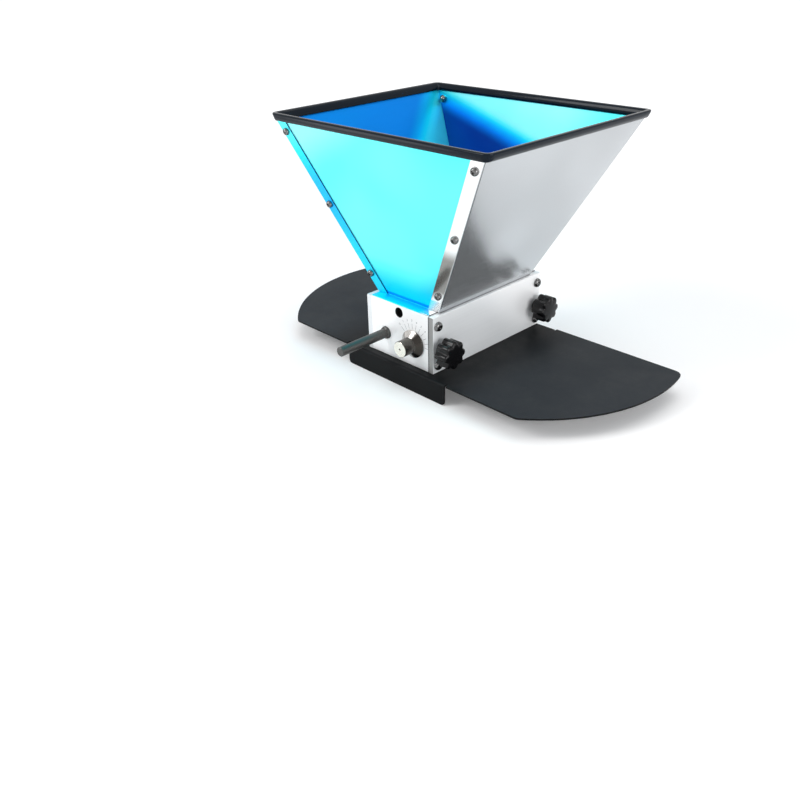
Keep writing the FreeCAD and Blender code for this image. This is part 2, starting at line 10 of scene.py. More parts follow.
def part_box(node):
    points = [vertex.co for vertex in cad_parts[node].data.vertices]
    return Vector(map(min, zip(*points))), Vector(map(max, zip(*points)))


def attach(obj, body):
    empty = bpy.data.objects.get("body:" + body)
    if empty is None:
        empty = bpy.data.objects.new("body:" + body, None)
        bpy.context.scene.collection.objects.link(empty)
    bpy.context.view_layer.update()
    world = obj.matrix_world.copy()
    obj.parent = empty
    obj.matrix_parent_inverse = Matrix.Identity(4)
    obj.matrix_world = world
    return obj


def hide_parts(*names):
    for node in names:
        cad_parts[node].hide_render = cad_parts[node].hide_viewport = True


bl_info = {
    "name": "Malt mill looks",
    "version": (1, 0, 0),
    "blender": (4, 5, 0),
    "location": "View3D > Sidebar > Mill",
    "description": "Dresses the malt mill with its finishes, fasteners, knurling, scale and studio",
    "category": "Object",
}

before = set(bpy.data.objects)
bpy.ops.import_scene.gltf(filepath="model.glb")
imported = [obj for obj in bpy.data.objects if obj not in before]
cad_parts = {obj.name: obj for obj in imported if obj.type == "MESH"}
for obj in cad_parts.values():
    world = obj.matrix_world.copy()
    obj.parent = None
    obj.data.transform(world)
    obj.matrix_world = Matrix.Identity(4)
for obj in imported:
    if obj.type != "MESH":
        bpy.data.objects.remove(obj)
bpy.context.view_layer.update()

MM = 0.001
WELD = 0.002 * MM
FLAT = math.radians(1)
ACROSS = Vector((1, 0, 0))
ALONG = Vector((0, 1, 0))
UP = Vector((0, 0, 1))
ENDS = {"front": -ALONG, "rear": ALONG}

# Sizes that the detail shares with the frame's solids
CORE_R = 7.0 * MM
JOURNAL_R = 6.0 * MM
DRIVE_R = 4.75 * MM
COLLAR_OUT = 2.5 * MM
TIE_BORE_R = 5.0 * MM
SPIGOT_R = 12.0 * MM
GROOVE_R = 10.5 * MM
GROOVE_HALF = 3.3 * MM
CLAMP_IN = 8.0 * MM
FLANGE_R = 13.9 * MM
RIM_THICK = 1.4 * MM
DIAL_LIFT = 0.2 * MM
HANDLE_R = 8.0 * MM
HANDLE_LONG = 12.4 * MM
KNOB_NECK_R = 6.5 * MM
KNOB_NECK = 5.0 * MM
KNOB_SCALLOP = 2.6 * MM
FLANGE_GAP = 0.1 * MM

# Sizes of the detail
AXIS_R = 0.1 * MM
SLIT = 0.02 * MM
BASE_EDGE = 0.28 * MM
BROAD_FACE = 600 * MM * MM
INSIDE_FOLD = 0.3
EASED_SHARE = 0.45
ROLLER_CHAMFER = 1.0 * MM
SHAFT_BREAK = 0.6 * MM
COLLAR_FILLET = 0.3 * MM
DIAL_BREAK = 0.15 * MM
BEVEL_R = FLANGE_R - 0.2 * MM
BEVEL_ROOT_R = HANDLE_R + 0.25 * MM
TURNED_RING = 0.06 * MM
INDEX_HALF = 0.30 * MM
INDEX_DEEP = 0.40 * MM
KNOB_LOBES = 8
# Distance from the lobes' back or front in millimetres, share of the knob's radius, share of the hollows
KNOB_BACK = ((0.05, 0.72, 0.5), (0.2, 0.93, 0.95), (0.7, 0.985, 1.0), (1.5, 1.0, 1.0))
KNOB_FRONT = ((2.6, 1.0, 1.0), (1.9, 0.985, 1.0), (1.35, 0.94, 0.97), (0.95, 0.86, 0.88),
              (0.6, 0.72, 0.65), (0.3, 0.50, 0.35), (0.08, 0.25, 0.1), (0.0, 0.04, 0.0))

# Trim: how far out of the sheet in millimetres, and the level
RIM_OUTLINE = ((0.02, "bottom"), (2.2, "bottom"), (3.0, "waist"), (2.2, "top"), (-2.5, "top"),
               (-3.2, "waist"), (-2.6, "bottom"), (-1.02, "bottom"))
RIM_SLOT = ((-1.02, "sheet"), (0.02, "sheet"))
RIM_WAIST = 0.42
RIM_ROUND = 3.0 * MM
RIM_CORNER = 4.8 * MM
RIM_CORNER_DROP = 3.0 * MM
RIM_CORNER_LEAST = 1.2 * MM
RIM_CORNER_STEPS = 8
RIM_SIDE_STEPS = 30

# Fasteners
HEAD_SIDES = 48
DOME_STEPS = 7
FASTENER_SEED = 7
M5_PAN = 9.4 * MM
M5_SHANK = 5.0 * MM
M4_PAN = 7.1 * MM
M4_SHANK = 3.9 * MM
TIE_HEAD = 8.4 * MM
TIE_KEY = 4.0 * MM
TIE_SHANK = 4.8 * MM
NUT_FLATS = 6.95 * MM
NUT_BODY = 3.2 * MM
NUT_CAP = 2.2 * MM
# Shares of a head's or nut's radius and height
PAN_TOP = ((1.0, 0.42), (0.80, 0.86), (0.42, 1.0), (0.02, 1.0))
NUT_BOUND = ((0.95, -0.1), (1.02, 0.12), (1.02, 0.80), (0.84, 1.02))

# Dial's scale
FIGURE_SHARE = 0.72
INK_DEEP = 0.04 * MM
INK_SUNK = 0.01 * MM
PLATE_REST = 8 * MM

# Streaks per metre along X, Y and Z
EVEN_STREAKS = (500.0, 500.0, 500.0)
END_STREAKS = (10.0, 700.0, 700.0)
SIDE_STREAKS = (700.0, 10.0, 700.0)
SHEET_STREAKS = (1400.0, 20.0, 1400.0)
# A way, and the places along it between which the metal is painted paler, as painted light
LEFT_PAINTED_LIGHT = (-ACROSS, -0.002, 0.018)
REAR_PAINTED_LIGHT = (ALONG + UP, 0.060, 0.135)

# Colours that no setting changes
WHITE = (1, 1, 1, 1)
COAT_DUST = (0.17, 0.16, 0.15, 1)
COAT_WORN = (0.22, 0.22, 0.23, 1)
BLACK_DUST = (0.14, 0.135, 0.13, 1)
# Painted shade: black for the walls of deep bores and for the gap under the bare hopper panel
PAINTED_SHADE_BLACK = (0.015, 0.015, 0.015, 1)
JOINT_BLACK = (0.02, 0.02, 0.02, 1)
# Painted shade on the cut edge of the hopper's sheet
CUT_EDGE_SHADE = (0.01, 0.015, 0.02, 1)
# Bare front flange of the hopper: its polish painted near white as a reflection, and a painted dark
# reflection
FLANGE_POLISH_AND_REFLECTION = (0.95, 0.95, 0.95, 1)
FLANGE_DARK_REFLECTION = (0.30, 0.285, 0.27, 1)
FILM_SKY = (0.010, 0.76, 1.0)
FILM_BLUE = (0.0, 0.24, 0.82)
DIAL_BEVEL = (0.62, 0.60, 0.57)
# Painted highlight on each dial's end face, and painted shade on its faces that look to the right
DIAL_FACE_HIGHLIGHT = (0.80, 0.77, 0.69)
DIAL_SHADE = (0.05, 0.045, 0.04)
BRONZE = (0.55, 0.36, 0.16)
NYLON = (0.62, 0.60, 0.54)
PAPER_DARK = (0.88, 0.88, 0.88, 1)
PAPER_LIGHT = (0.90, 0.90, 0.90, 1)
SKY_LOW = (0.80, 0.81, 0.83)
SKY_MIDDLE = (0.46, 0.48, 0.51)
BUMP_DEPTH = 0.1 * MM

# Each lamp's name, size, place and target
LAMPS = (("key", 0.9, (-0.9, -1.5, 1.5), (0.0, 0.0, 0.12)),
         ("fill", 1.0, (1.9, -0.1, 0.6), (0.0, 0.0, 0.12)),
         ("top", 1.6, (0.1, 0.2, 2.0), (0.0, 0.0, 0.12)),
         ("front", 0.2, (-0.36, -0.42, 0.12), (-0.03, -0.07, 0.05)))


def length(name, millimetres, description):
    """A size in metres that the panel shows in the scene's units."""
    return bpy.props.FloatProperty(name=name, description=description, default=millimetres * MM,
                                   min=0, unit="LENGTH", precision=5)


def colour(name, rgb, description):
    return bpy.props.FloatVectorProperty(name=name, description=description, default=rgb, min=0, max=1,
                                         subtype="COLOR")


def share(name, value, description):
    return bpy.props.FloatProperty(name=name, description=description, default=value, min=0, max=1,
                                   subtype="FACTOR")


def angle(name, degrees, description):
    return bpy.props.FloatProperty(name=name, description=description, default=math.radians(degrees),
                                   subtype="ANGLE")


def power(name, watts, description):
    return bpy.props.FloatProperty(name=name, description=description, default=watts, unit="POWER")


class MillSizes(bpy.types.PropertyGroup):
    """Sizes of the detail that is added to the frame."""

    sheet_edge: length("Sheet edge", 0.18, "Round on the cut edges of the hopper's sheet")
    sheet_bend: length("Sheet bend", 1.5, "Outer round where the hopper's sheet is folded")
    plate_edge: length("Plate edge", 0.35, "Round on the edges of the body's plates")
    plate_head: length("Plate screw head", 3.6, "Height of a side plate screw's head")
    base_head: length("Base screw head", 2.7, "Height of a base screw's head")
    tie_head: length("Tie screw head", 5.0, "Height of a tie-rod screw's head")
    hopper_head: length("Hopper screw head", 2.8, "Height of a hopper screw's head")
    rim_lift: length("Trim lift", 0.9, "How far the trim's lower edge is above the frame's")
    rim_drop: length("Trim drop", 0.5, "How far the trim's top is below the frame's")
    recess: length("Cross recess", 1.5, "Depth of the cross recess in a screw's head")
    knurl_depth: length("Knurl depth", 0.45, "Depth of the knurl on the rollers")
    knurl_pitch: length("Knurl pitch", 1.0, "Pitch of the knurl on the rollers")


class MillFinish(bpy.types.PropertyGroup):
    """Colours of the finishes."""

    coat: colour("Powder coat", (0.019, 0.024, 0.029), "Charcoal coat of the base plate")
    plate: colour("End plate", (0.90, 0.90, 0.90), "Satin end plates of the body")
    side: colour("Side plate", (0.82, 0.84, 0.85), "Satin side plates of the body")
    # Painted shade: darkens the end faces of the right side plate, which look along Y
    plate_end: colour("Plate end", (0.29, 0.29, 0.285), "Bare ends of the right side plate")
    steel: colour("Bare steel", (0.655, 0.675, 0.695), "Hopper sheet with its film peeled off")
    film_pale: colour("Film, pale", (0.35, 1.0, 1.0), "Protective film on the hopper, in its sheen")
    film: colour("Film", (0.11, 0.96, 1.0), "Protective film where it is bright")
    film_mid: colour("Film, middle", (0.002, 0.50, 1.0), "Protective film half way to its deepest")
    film_deep: colour("Film, deep", (0.000, 0.035, 0.24), "Protective film where it is darkest")
    screws: colour("Screws", (0.18, 0.18, 0.18), "Plated fasteners")
    oxide: colour("Socket screws", (0.030, 0.030, 0.032), "Blackened socket screws")
    shaft: colour("Shaft", (0.11, 0.108, 0.105), "Ground shafts")
    roller: colour("Roller", (0.36, 0.35, 0.34), "Knurled rollers")
    # Painted shade: the dark handle of each dial, on the same steel as its paler flange
    dial: colour("Dial", (0.10, 0.094, 0.086), "Turned dials")
    # The rubber's faint blue is a painted reflection of the hopper's blue film
    rubber: colour("Rubber", (0.0015, 0.006, 0.012), "Edge trim")
    knob: colour("Knob", (0.004, 0.004, 0.0045), "Moulded star knobs")
    ink: colour("Scale", (0.30, 0.30, 0.31), "Lines and numbers of the dial's scale")


class MillScale(bpy.types.PropertyGroup):
    """Scale round the front dial."""

    ticks: bpy.props.IntProperty(name="Lines", description="Lines on the scale", default=10, min=2)
    first: angle("First line", -50, "Angle of the first line from 12 o'clock")
    step: angle("Step", 15.5, "Angle between two lines")
    inner: length("Inner radius", 15.0, "Radius where the lines start")
    outer: length("Outer radius", 20.4, "Radius where the lines end")
    numbers: length("Number radius", 23.4, "Radius of the middle of the numbers")
    height: length("Number height", 2.4, "Height of the numbers")
    width: length("Line width", 0.36, "Width of a line")


class MillStudio(bpy.types.PropertyGroup):
    """Camera and lights."""

    azimuth: angle("Azimuth", 46.61, "Camera's turn round the mill")
    elevation: angle("Elevation", 29.64, "Camera's height above the horizon")
    roll: angle("Roll", -1.63, "Camera's turn about its own axis")
    distance: length("Distance", 881.3, "Camera's distance from the point it looks at")
    target: bpy.props.FloatVectorProperty(name="Target", description="Point that the camera looks at",
                                          default=(-0.04086, -0.02960, -0.05439), subtype="TRANSLATION",
                                          unit="LENGTH")
    lens: bpy.props.FloatProperty(name="Lens", description="Focal length of the camera in millimetres",
                                  default=36.47, unit="CAMERA")
    key: power("Key light", 19.0, "Power of the main light")
    fill: power("Fill light", 17.5, "Power of the light from the right")
    front: power("Front light", 0.3, "Power of the small light on the front plate")
    top: power("Top light", 12.0, "Power of the light above")
    sky: bpy.props.FloatProperty(name="Sky", description="Strength of the light from all round",
                                 default=0.85, min=0)
    backdrop: share("Backdrop", 0.84, "Brightness of the backdrop overhead; it is white at the horizon")
    paper: share("Paper", 0.14, "Light that the paper floor adds of its own for the camera and in gloss")
    far_paper: share("Far paper", 0.52, "The same light two metres away and beyond")


# Shader groups


def node(tree, kind, inputs=None, **settings):
    """A new node with its settings made and its inputs set or linked."""
    made = tree.nodes.new(kind)
    for name, value in settings.items():
        setattr(made, name, value)
    for name, value in (inputs or {}).items():
        if isinstance(value, bpy.types.NodeSocket):
            tree.links.new(value, made.inputs[name])
        else:
            made.inputs[name].default_value = value
    return made


def wired(tree, sockets, **values):
    """Link values to sockets, named with _ for a space. Gives the tree."""
    for name, value in values.items():
        tree.links.new(value, sockets[name.replace("_", " ")])
    return tree


def maths(tree, operation, *values, clamp=False):
    made = node(tree, "ShaderNodeMath", dict(enumerate(values)), operation=operation, use_clamp=clamp)
    return made.outputs[0]


def plus(tree, first, second, clamp=False):
    return maths(tree, "ADD", first, second, clamp=clamp)


def minus(tree, first, second):
    return maths(tree, "SUBTRACT", first, second)


def times(tree, first, second, clamp=False):
    return maths(tree, "MULTIPLY", first, second, clamp=clamp)


def size_of(tree, value):
    return maths(tree, "ABSOLUTE", value)


def vectors(tree, operation, *values, **named):
    """What a vector operation gives: a vector, or the number of a DOT_PRODUCT or LENGTH."""
    inputs = {**dict(enumerate(values)), **named}
    found = node(tree, "ShaderNodeVectorMath", inputs, operation=operation).outputs
    return found["Value"] if operation in ("DOT_PRODUCT", "LENGTH") else found[0]


def dotted(tree, first, second):
    return vectors(tree, "DOT_PRODUCT", first, second)


def apart(tree, vector):
    """The X, Y and Z of a vector."""
    return node(tree, "ShaderNodeSeparateXYZ", {0: vector}).outputs


def together(tree, **parts):
    """A vector of its X, Y and Z."""
    return node(tree, "ShaderNodeCombineXYZ", parts).outputs[0]


def outward(tree):
    """The surface's normal."""
    return node(tree, "ShaderNodeNewGeometry").outputs["Normal"]


def noise(tree, place, scale, detail=2.0, roughness=0.5):
    return node(tree, "ShaderNodeTexNoise", {"Vector": place, "Scale": scale, "Detail": detail,
                                             "Roughness": roughness}).outputs["Fac"]


def mapped(tree, value, low, high, to_low=0.0, to_high=1.0, smooth=True):
    """The value moved from one range to another, and kept in it."""
    made = node(tree, "ShaderNodeMapRange",
                {"Value": value, "From Min": low, "From Max": high, "To Min": to_low, "To Max": to_high},
                interpolation_type="SMOOTHSTEP" if smooth else "LINEAR")
    return made.outputs["Result"]


def blended(tree, mask, first, second):
    """First colour where the mask is 0, second where it is 1."""
    mix = node(tree, "ShaderNodeMix", {"Factor": mask, 6: first, 7: second}, data_type="RGBA")
    return mix.outputs[2]


def between(tree, mask, first, second):
    """First number where the mask is 0, second where it is 1."""
    mix = node(tree, "ShaderNodeMix", {"Factor": mask, 2: first, 3: second}, data_type="FLOAT")
    return mix.outputs[0]


def coloured(tree, value, low, high, stops):
    """Colours from low at 0 to high at 1, through the (value, colour) stops."""
    ramp = node(tree, "ShaderNodeValToRGB", {"Fac": value})
    bands = ramp.color_ramp.elements
    bands[0].color, bands[1].color = rgba(low), rgba(high)
    for place, rgb in stops:
        bands.new(place).color = rgba(rgb)
    return ramp.outputs["Color"]


def shader_group(name, inputs, outputs):
    """An empty shader group. Its inputs are numbers, vectors or None (a vector), its outputs numbers."""
    tree = bpy.data.node_groups.new(name, "ShaderNodeTree")
    for label, value in inputs.items():
        kind = "NodeSocketFloat" if isinstance(value, float) else "NodeSocketVector"
        socket = tree.interface.new_socket(label, in_out="INPUT", socket_type=kind)
        if value is not None:
            socket.default_value = value
    for label in outputs:
        tree.interface.new_socket(label, in_out="OUTPUT", socket_type="NodeSocketFloat")
    return tree, tree.nodes.new("NodeGroupInput").outputs, tree.nodes.new("NodeGroupOutput").inputs


def grain_group():
    """Fine grain: roughness that varies over the surface, and a height for a bump."""
    tree, given, result = shader_group(
        "Fine grain", {"Place": None, "Grains per metre": 900.0, "Low": 0.3, "High": 0.5},
        ("Roughness", "Height"))
    fine = noise(tree, given["Place"], given["Grains per metre"], 3.0)
    patchy = noise(tree, given["Place"], 22.0, 4.0)
    both = plus(tree, times(tree, fine, 0.4), times(tree, patchy, 0.6))
    rough = mapped(tree, both, 0.35, 0.65, given["Low"], given["High"])
    return wired(tree, result, Roughness=rough, Height=fine)


def brushing_group():
    """Brushing: long fine streaks, stretched by a vector of streaks per metre."""
    tree, given, result = shader_group(
        "Brushing", {"Place": None, "Streaks": (900.0, 900.0, 12.0)}, ("Streak",))
    stretched = vectors(tree, "MULTIPLY", given["Place"], given["Streaks"])
    return wired(tree, result, Streak=mapped(tree, noise(tree, stretched, 1.0, 3.0, 0.6), 0.3, 0.7))


def wear_group():
    """Edge wear: a mask along sharp edges, broken up by noise."""
    tree, given, result = shader_group(
        "Edge wear", {"Place": None, "Width": 0.0006, "Amount": 0.5}, ("Mask",))
    rounded = node(tree, "ShaderNodeBevel", {"Radius": given["Width"]}, samples=4).outputs[0]
    edge = mapped(tree, dotted(tree, rounded, outward(tree)), 0.998, 0.93)
    broken = times(tree, edge, mapped(tree, noise(tree, given["Place"], 160.0, 5.0), 0.35, 0.7))
    return wired(tree, result, Mask=times(tree, broken, given["Amount"], clamp=True))


def dust_group():
    """Dust: a faint mask on surfaces that face up."""
    tree, given, result = shader_group("Dust", {"Place": None, "Amount": 0.2}, ("Mask",))
    facing = mapped(tree, apart(tree, outward(tree))["Z"], 0.2, 1.0)
    patches = mapped(tree, noise(tree, given["Place"], 35.0, 8.0, 0.7), 0.4, 0.75)
    dusty = times(tree, facing, patches)
    return wired(tree, result, Mask=times(tree, dusty, given["Amount"], clamp=True))


def turning_group():
    """Turning marks: rings about an axis along Y through the origin of Place."""
    tree, given, result = shader_group(
        "Turning marks", {"Place": None, "Rings per metre": 2600.0}, ("Ring",))
    x, y, z = apart(tree, given["Place"])
    radius = maths(tree, "SQRT", plus(tree, times(tree, x, x), times(tree, z, z)))
    rings = times(tree, plus(tree, radius, times(tree, y, 0.73)), given["Rings per metre"])
    marks = node(tree, "ShaderNodeTexNoise", {"W": rings, "Scale": 1.0, "Detail": 2.0},
                 noise_dimensions="1D")
    return wired(tree, result, Ring=mapped(tree, marks.outputs["Fac"], 0.3, 0.7))


def joint_group():
    """Joint line: a mask on faces that look along Facing, where the place along Across is At."""
    tree, given, result = shader_group(
        "Joint line", {"Place": None, "Facing": (0.0, 1.0, 0.0), "Across": (1.0, 0.0, 0.0), "At": 0.0,
                       "Width": 0.0009}, ("Mask",))
    off = size_of(tree, minus(tree, dotted(tree, given["Place"], given["Across"]), given["At"]))
    near = mapped(tree, maths(tree, "DIVIDE", off, given["Width"]), 1.0, 0.4)
    facing = mapped(tree, size_of(tree, dotted(tree, outward(tree), given["Facing"])), 0.3, 0.5)
    return wired(tree, result, Mask=times(tree, near, facing))


def bore_group():
    """Bore shade: a mask within a radius of an axis along Y, for painted shade on a deep bore's wall."""
    tree, given, result = shader_group(
        "Bore shade", {"Place": None, "Axis": None, "Radius": 0.005}, ("Mask",))
    away = vectors(tree, "MULTIPLY", vectors(tree, "SUBTRACT", given["Place"], given["Axis"]), (1, 0, 1))
    reach = maths(tree, "DIVIDE", vectors(tree, "LENGTH", away), given["Radius"])
    return wired(tree, result, Mask=mapped(tree, reach, 1.05, 1.0))


GROUPS = {"Fine grain": grain_group, "Brushing": brushing_group, "Edge wear": wear_group,
          "Dust": dust_group, "Turning marks": turning_group, "Joint line": joint_group,
          "Bore shade": bore_group}


def placed(tree, name, **values):
    """A shared group's outputs in a material's tree, with its inputs set."""
    group = bpy.data.node_groups.get(name) or GROUPS[name]()
    inputs = {key.replace("_", " "): value for key, value in values.items()}
    return node(tree, "ShaderNodeGroup", inputs, node_tree=group).outputs


# Finishes


def rgba(rgb, factor=1.0):
    return (rgb[0] * factor, rgb[1] * factor, rgb[2] * factor, 1.0)


def brighter(rgb, factor):
    return rgba([min(1.0, factor * part) for part in rgb])


def finish(name, **sockets):
    """A material with some of its shader's inputs set. Gives it, its tree, its inputs and the place."""
    material = bpy.data.materials.new(name)
    material.use_nodes = True
    tree = material.node_tree
    shader = tree.nodes["Principled BSDF"]
    for socket, value in sockets.items():
        shader.inputs[socket.replace("_", " ")].default_value = value
    return material, tree, shader.inputs, node(tree, "ShaderNodeTexCoord").outputs["Object"]


def bumped(tree, shader, height, strength, distance=BUMP_DEPTH):
    bump = node(tree, "ShaderNodeBump", {"Height": height, "Strength": strength, "Distance": distance})
    wired(tree, shader, Normal=bump.outputs["Normal"])


def worn(tree, place, width, amount, rgb, bright):
    """The colour, brighter where edges are worn."""
    mask = placed(tree, "Edge wear", Place=place, Width=width, Amount=amount)["Mask"]
    return blended(tree, mask, rgb, bright)


def powder_coat(colours):
    """Charcoal coat, with painted shade on its sides and a painted shadow beside the body."""
    material, tree, shader, place = finish("charcoal_coat", Specular_IOR_Level=0.10)
    grain = placed(tree, "Fine grain", Place=place, Grains_per_metre=1400.0, Low=0.44, High=0.52)
    # Painted shade: faces that do not look up get a much darker coat
    facing = mapped(tree, dotted(tree, outward(tree), UP), 0.2, 0.9)
    # Painted shadow: the top is darker close beside the body
    beside = mapped(tree, size_of(tree, apart(tree, place)["X"]), 0.055, 0.115)
    top = blended(tree, beside, rgba(colours.coat, 0.2), rgba(colours.coat))
    coat = blended(tree, facing, rgba(colours.coat, 0.12), top)
    dusty = blended(tree, placed(tree, "Dust", Place=place, Amount=0.05)["Mask"], coat, COAT_DUST)
    wired(tree, shader, Base_Color=worn(tree, place, 0.0004, 0.25, dusty, COAT_WORN),
          Roughness=grain["Roughness"])
    bumped(tree, shader, grain["Height"], 0.12)
    return material


def metal(name, rgb, streaks, low, high, streak_share=0.12, bump=0.05, metallic=1.0, joints=(),
          bores=(), pale=None, ends=None):
    """Brushed metal whose colour and roughness follow its streaks.

    Joints are two ways and a place of each dark line, bores are the axis and radius of each hole whose
    wall gets painted shade.
    Pale is a way and the places along it between which the metal is painted paler, as painted light.
    Ends is a colour of painted shade for the faces that look along Y.
    """
    material, tree, shader, place = finish(name, Metallic=metallic)
    streak = placed(tree, "Brushing", Place=place, Streaks=streaks)["Streak"]
    grain = placed(tree, "Fine grain", Place=place, Grains_per_metre=500.0, Low=low, High=high)
    tone = blended(tree, streak, rgba(rgb, 1 - streak_share), rgba(rgb))
    if pale:
        # Painted light: paler along the way of Pale
        way, start, stop = pale
        tone = blended(tree, mapped(tree, dotted(tree, place, way), start, stop), tone, WHITE)
    # Painted shade on the faces that look along Y
    if ends:
        along = size_of(tree, dotted(tree, outward(tree), ALONG))
        tone = blended(tree, mapped(tree, along, 0.8, 0.9), tone, rgba(ends))
    tone = worn(tree, place, 0.0004, 0.5, tone, brighter(rgb, 1.25))
    # Painted shade on the walls of deep bores
    for axis, radius in bores:
        shade = placed(tree, "Bore shade", Place=place, Axis=axis, Radius=radius)["Mask"]
        tone = blended(tree, shade, tone, PAINTED_SHADE_BLACK)
    for facing, across, at in joints:
        line = placed(tree, "Joint line", Place=place, Facing=facing, Across=across, At=at)["Mask"]
        tone = blended(tree, line, tone, JOINT_BLACK)
    rough = plus(tree, grain["Roughness"], mapped(tree, streak, 0, 1, -0.03, 0.03))
    wired(tree, shader, Base_Color=tone, Roughness=rough)
    bumped(tree, shader, streak, bump)
    return material


def turned_metal(name, rgb, axis, low, high, rings, bands=(), shade=None):
    """Metal with turning marks about an axis along Y. Each band is a colour past a place along Y.

    Shade is a colour of painted shade for the faces that look to the right.
    """
    material, tree, shader, place = finish(name, Metallic=1.0)
    centred = node(tree, "ShaderNodeMapping", {"Vector": place, "Location": (-axis.x, 0, -axis.z)})
    ring = placed(tree, "Turning marks", Place=centred.outputs[0], Rings_per_metre=rings)["Ring"]
    tone = blended(tree, ring, rgba(rgb, 0.82), rgba(rgb))
    # Painted shade on the faces that look to the right
    if shade:
        facing = mapped(tree, dotted(tree, outward(tree), ACROSS), 0.08, 0.34)
        tone = blended(tree, facing, tone, rgba(shade))
    for start, end, band in bands:
        tone = blended(tree, mapped(tree, apart(tree, place)["Y"], start, end), tone, rgba(band))
    wired(tree, shader, Base_Color=worn(tree, place, 0.0003, 0.6, tone, brighter(rgb, 1.3)),
          Roughness=mapped(tree, ring, 0, 1, low, high))
    bumped(tree, shader, ring, 0.08)
    return material


def glossy_black(name, rgb, low, high, grains, bump, **sockets):
    """Black rubber or moulded plastic with a fine surface and a little dust."""
    material, tree, shader, place = finish(name, **sockets)
    grain = placed(tree, "Fine grain", Place=place, Grains_per_metre=grains, Low=low, High=high)
    dust = placed(tree, "Dust", Place=place, Amount=0.03)["Mask"]
    wired(tree, shader, Base_Color=blended(tree, dust, rgba(rgb), BLACK_DUST),
          Roughness=grain["Roughness"])
    bumped(tree, shader, grain["Height"], bump, 2 * BUMP_DEPTH)
    return material


def plain(name, rgb, low, high, **sockets):
    """A quiet finish for small inner pieces, with some variation."""
    material, tree, shader, place = finish(name, **sockets)
    grain = placed(tree, "Fine grain", Place=place, Grains_per_metre=700.0, Low=low, High=high)
    tone = mapped(tree, grain["Height"], 0.3, 0.7)
    wired(tree, shader, Base_Color=blended(tree, tone, rgba(rgb, 0.85), rgba(rgb)),
          Roughness=grain["Roughness"])
    return material


def hopper_steel(tree, colours, place, cloud, polish_and_reflection):
    """Colour and roughness of the bare sheet. Its front flange has a polish, and its colour there is a
    painted reflection: near white, and darker in a band across it.
    """
    z = apart(tree, place)["Z"]
    # Painted dark reflection in a band across the front flange
    dark_reflection = times(tree, mapped(tree, z, 0.156, 0.140), mapped(tree, z, 0.098, 0.106))
    brushed = placed(tree, "Brushing", Place=place, Streaks=SHEET_STREAKS)["Streak"]
    patchy = mapped(tree, cloud, 0.35, 0.65)
    dark = blended(tree, patchy, rgba(colours.steel, 0.84), rgba(colours.steel, 0.97))
    light = blended(tree, patchy, rgba(colours.steel, 0.88), rgba(colours.steel))
    tone = blended(tree, polish_and_reflection, blended(tree, brushed, dark, light),
                   blended(tree, dark_reflection, FLANGE_POLISH_AND_REFLECTION, FLANGE_DARK_REFLECTION))
    return brushed, tone, between(tree, polish_and_reflection, mapped(tree, brushed, 0, 1, 0.20, 0.25), 0.12)


def filmed_steel(name, colours, outside, paint, inner_paint, bare, fold=None):
    """Steel under its film. The paint functions give the film's depth, from 0, pale, to 1, deep.
    Outside the front panel and inside the left and rear ones, that depth is painted reflection and
    shade.

    Outside is the way that the panel's outer face looks. The bare function gives a mask of where the
    film is off. Fold is the normal and distance of a plane: past it, the sheet's cut edge is painted
    dark, as painted shade.
    """
    material, tree, shader, place = finish(name, Specular_IOR_Level=0.15)
    parts = apart(tree, place)
    normal = outward(tree)
    inner = mapped(tree, dotted(tree, normal, -outside), 0.3, 0.5)
    outer_depth = times(tree, minus(tree, 1.0, inner), paint(tree, parts))
    depth = plus(tree, outer_depth, times(tree, inner, inner_paint(tree, parts)))
    cloud = noise(tree, place, 9.0, 1.0)
    depth = plus(tree, depth, mapped(tree, cloud, 0.3, 0.7, -0.02, 0.02), clamp=True)
    stops = ((0.14, colours.film), (0.28, FILM_SKY), (0.46, colours.film_mid), (0.72, FILM_BLUE))
    film = coloured(tree, depth, colours.film_pale, colours.film_deep, stops)
    off = bare(tree, parts, inner)
    polish_and_reflection = mapped(tree, dotted(tree, normal, -ALONG), 0.75, 0.88)
    brushed, steel, steel_rough = hopper_steel(tree, colours, place, cloud, polish_and_reflection)
    tint = blended(tree, off, film, steel)
    # Painted shadow: a thin black band at the foot of the bare outside that looks right, where the panel
    # meets the side plate
    gap = times(tree, off, mapped(tree, parts["Z"], 0.0806, 0.0803))
    tint = blended(tree, times(tree, gap, dotted(tree, normal, ACROSS), clamp=True), tint, PAINTED_SHADE_BLACK)
    # Painted shade on the sheet's cut edge past the fold's plane
    if fold:
        way, distance = fold
        past = mapped(tree, dotted(tree, place, way), distance + 0.1 * MM, distance + 0.2 * MM)
        across = size_of(tree, dotted(tree, normal, way))
        tint = blended(tree, times(tree, past, mapped(tree, across, 0.7, 0.5)), tint, CUT_EDGE_SHADE)
    grain = placed(tree, "Fine grain", Place=place, Grains_per_metre=60.0, Low=0.30, High=0.38)
    wired(tree, shader, Base_Color=tint, Roughness=between(tree, off, grain["Roughness"], steel_rough),
          Metallic=mapped(tree, off, 0, 1, 0.62, 0.82))
    bumped(tree, shader, brushed, 0.02)
    return material


# Meshes


def added(name, data):
    """A new object in the scene."""
    piece = bpy.data.objects.new(name, data)
    bpy.context.scene.collection.objects.link(piece)
    return piece


def evaluated(piece):
    """The mesh of an object with its modifiers applied. The object is removed."""
    mesh = bpy.data.meshes.new_from_object(piece.evaluated_get(bpy.context.evaluated_depsgraph_get()))
    bpy.data.objects.remove(piece)
    return mesh


def mesh_of(bm):
    """What has been edited, as a mesh."""
    mesh = bpy.data.meshes.new("mesh")
    bm.to_mesh(mesh)
    bm.free()
    return mesh


def settled(bm):
    """A mesh of merged points and outward faces."""
    bmesh.ops.remove_doubles(bm, verts=bm.verts, dist=WELD)
    bmesh.ops.recalc_face_normals(bm, faces=bm.faces)
    return mesh_of(bm)


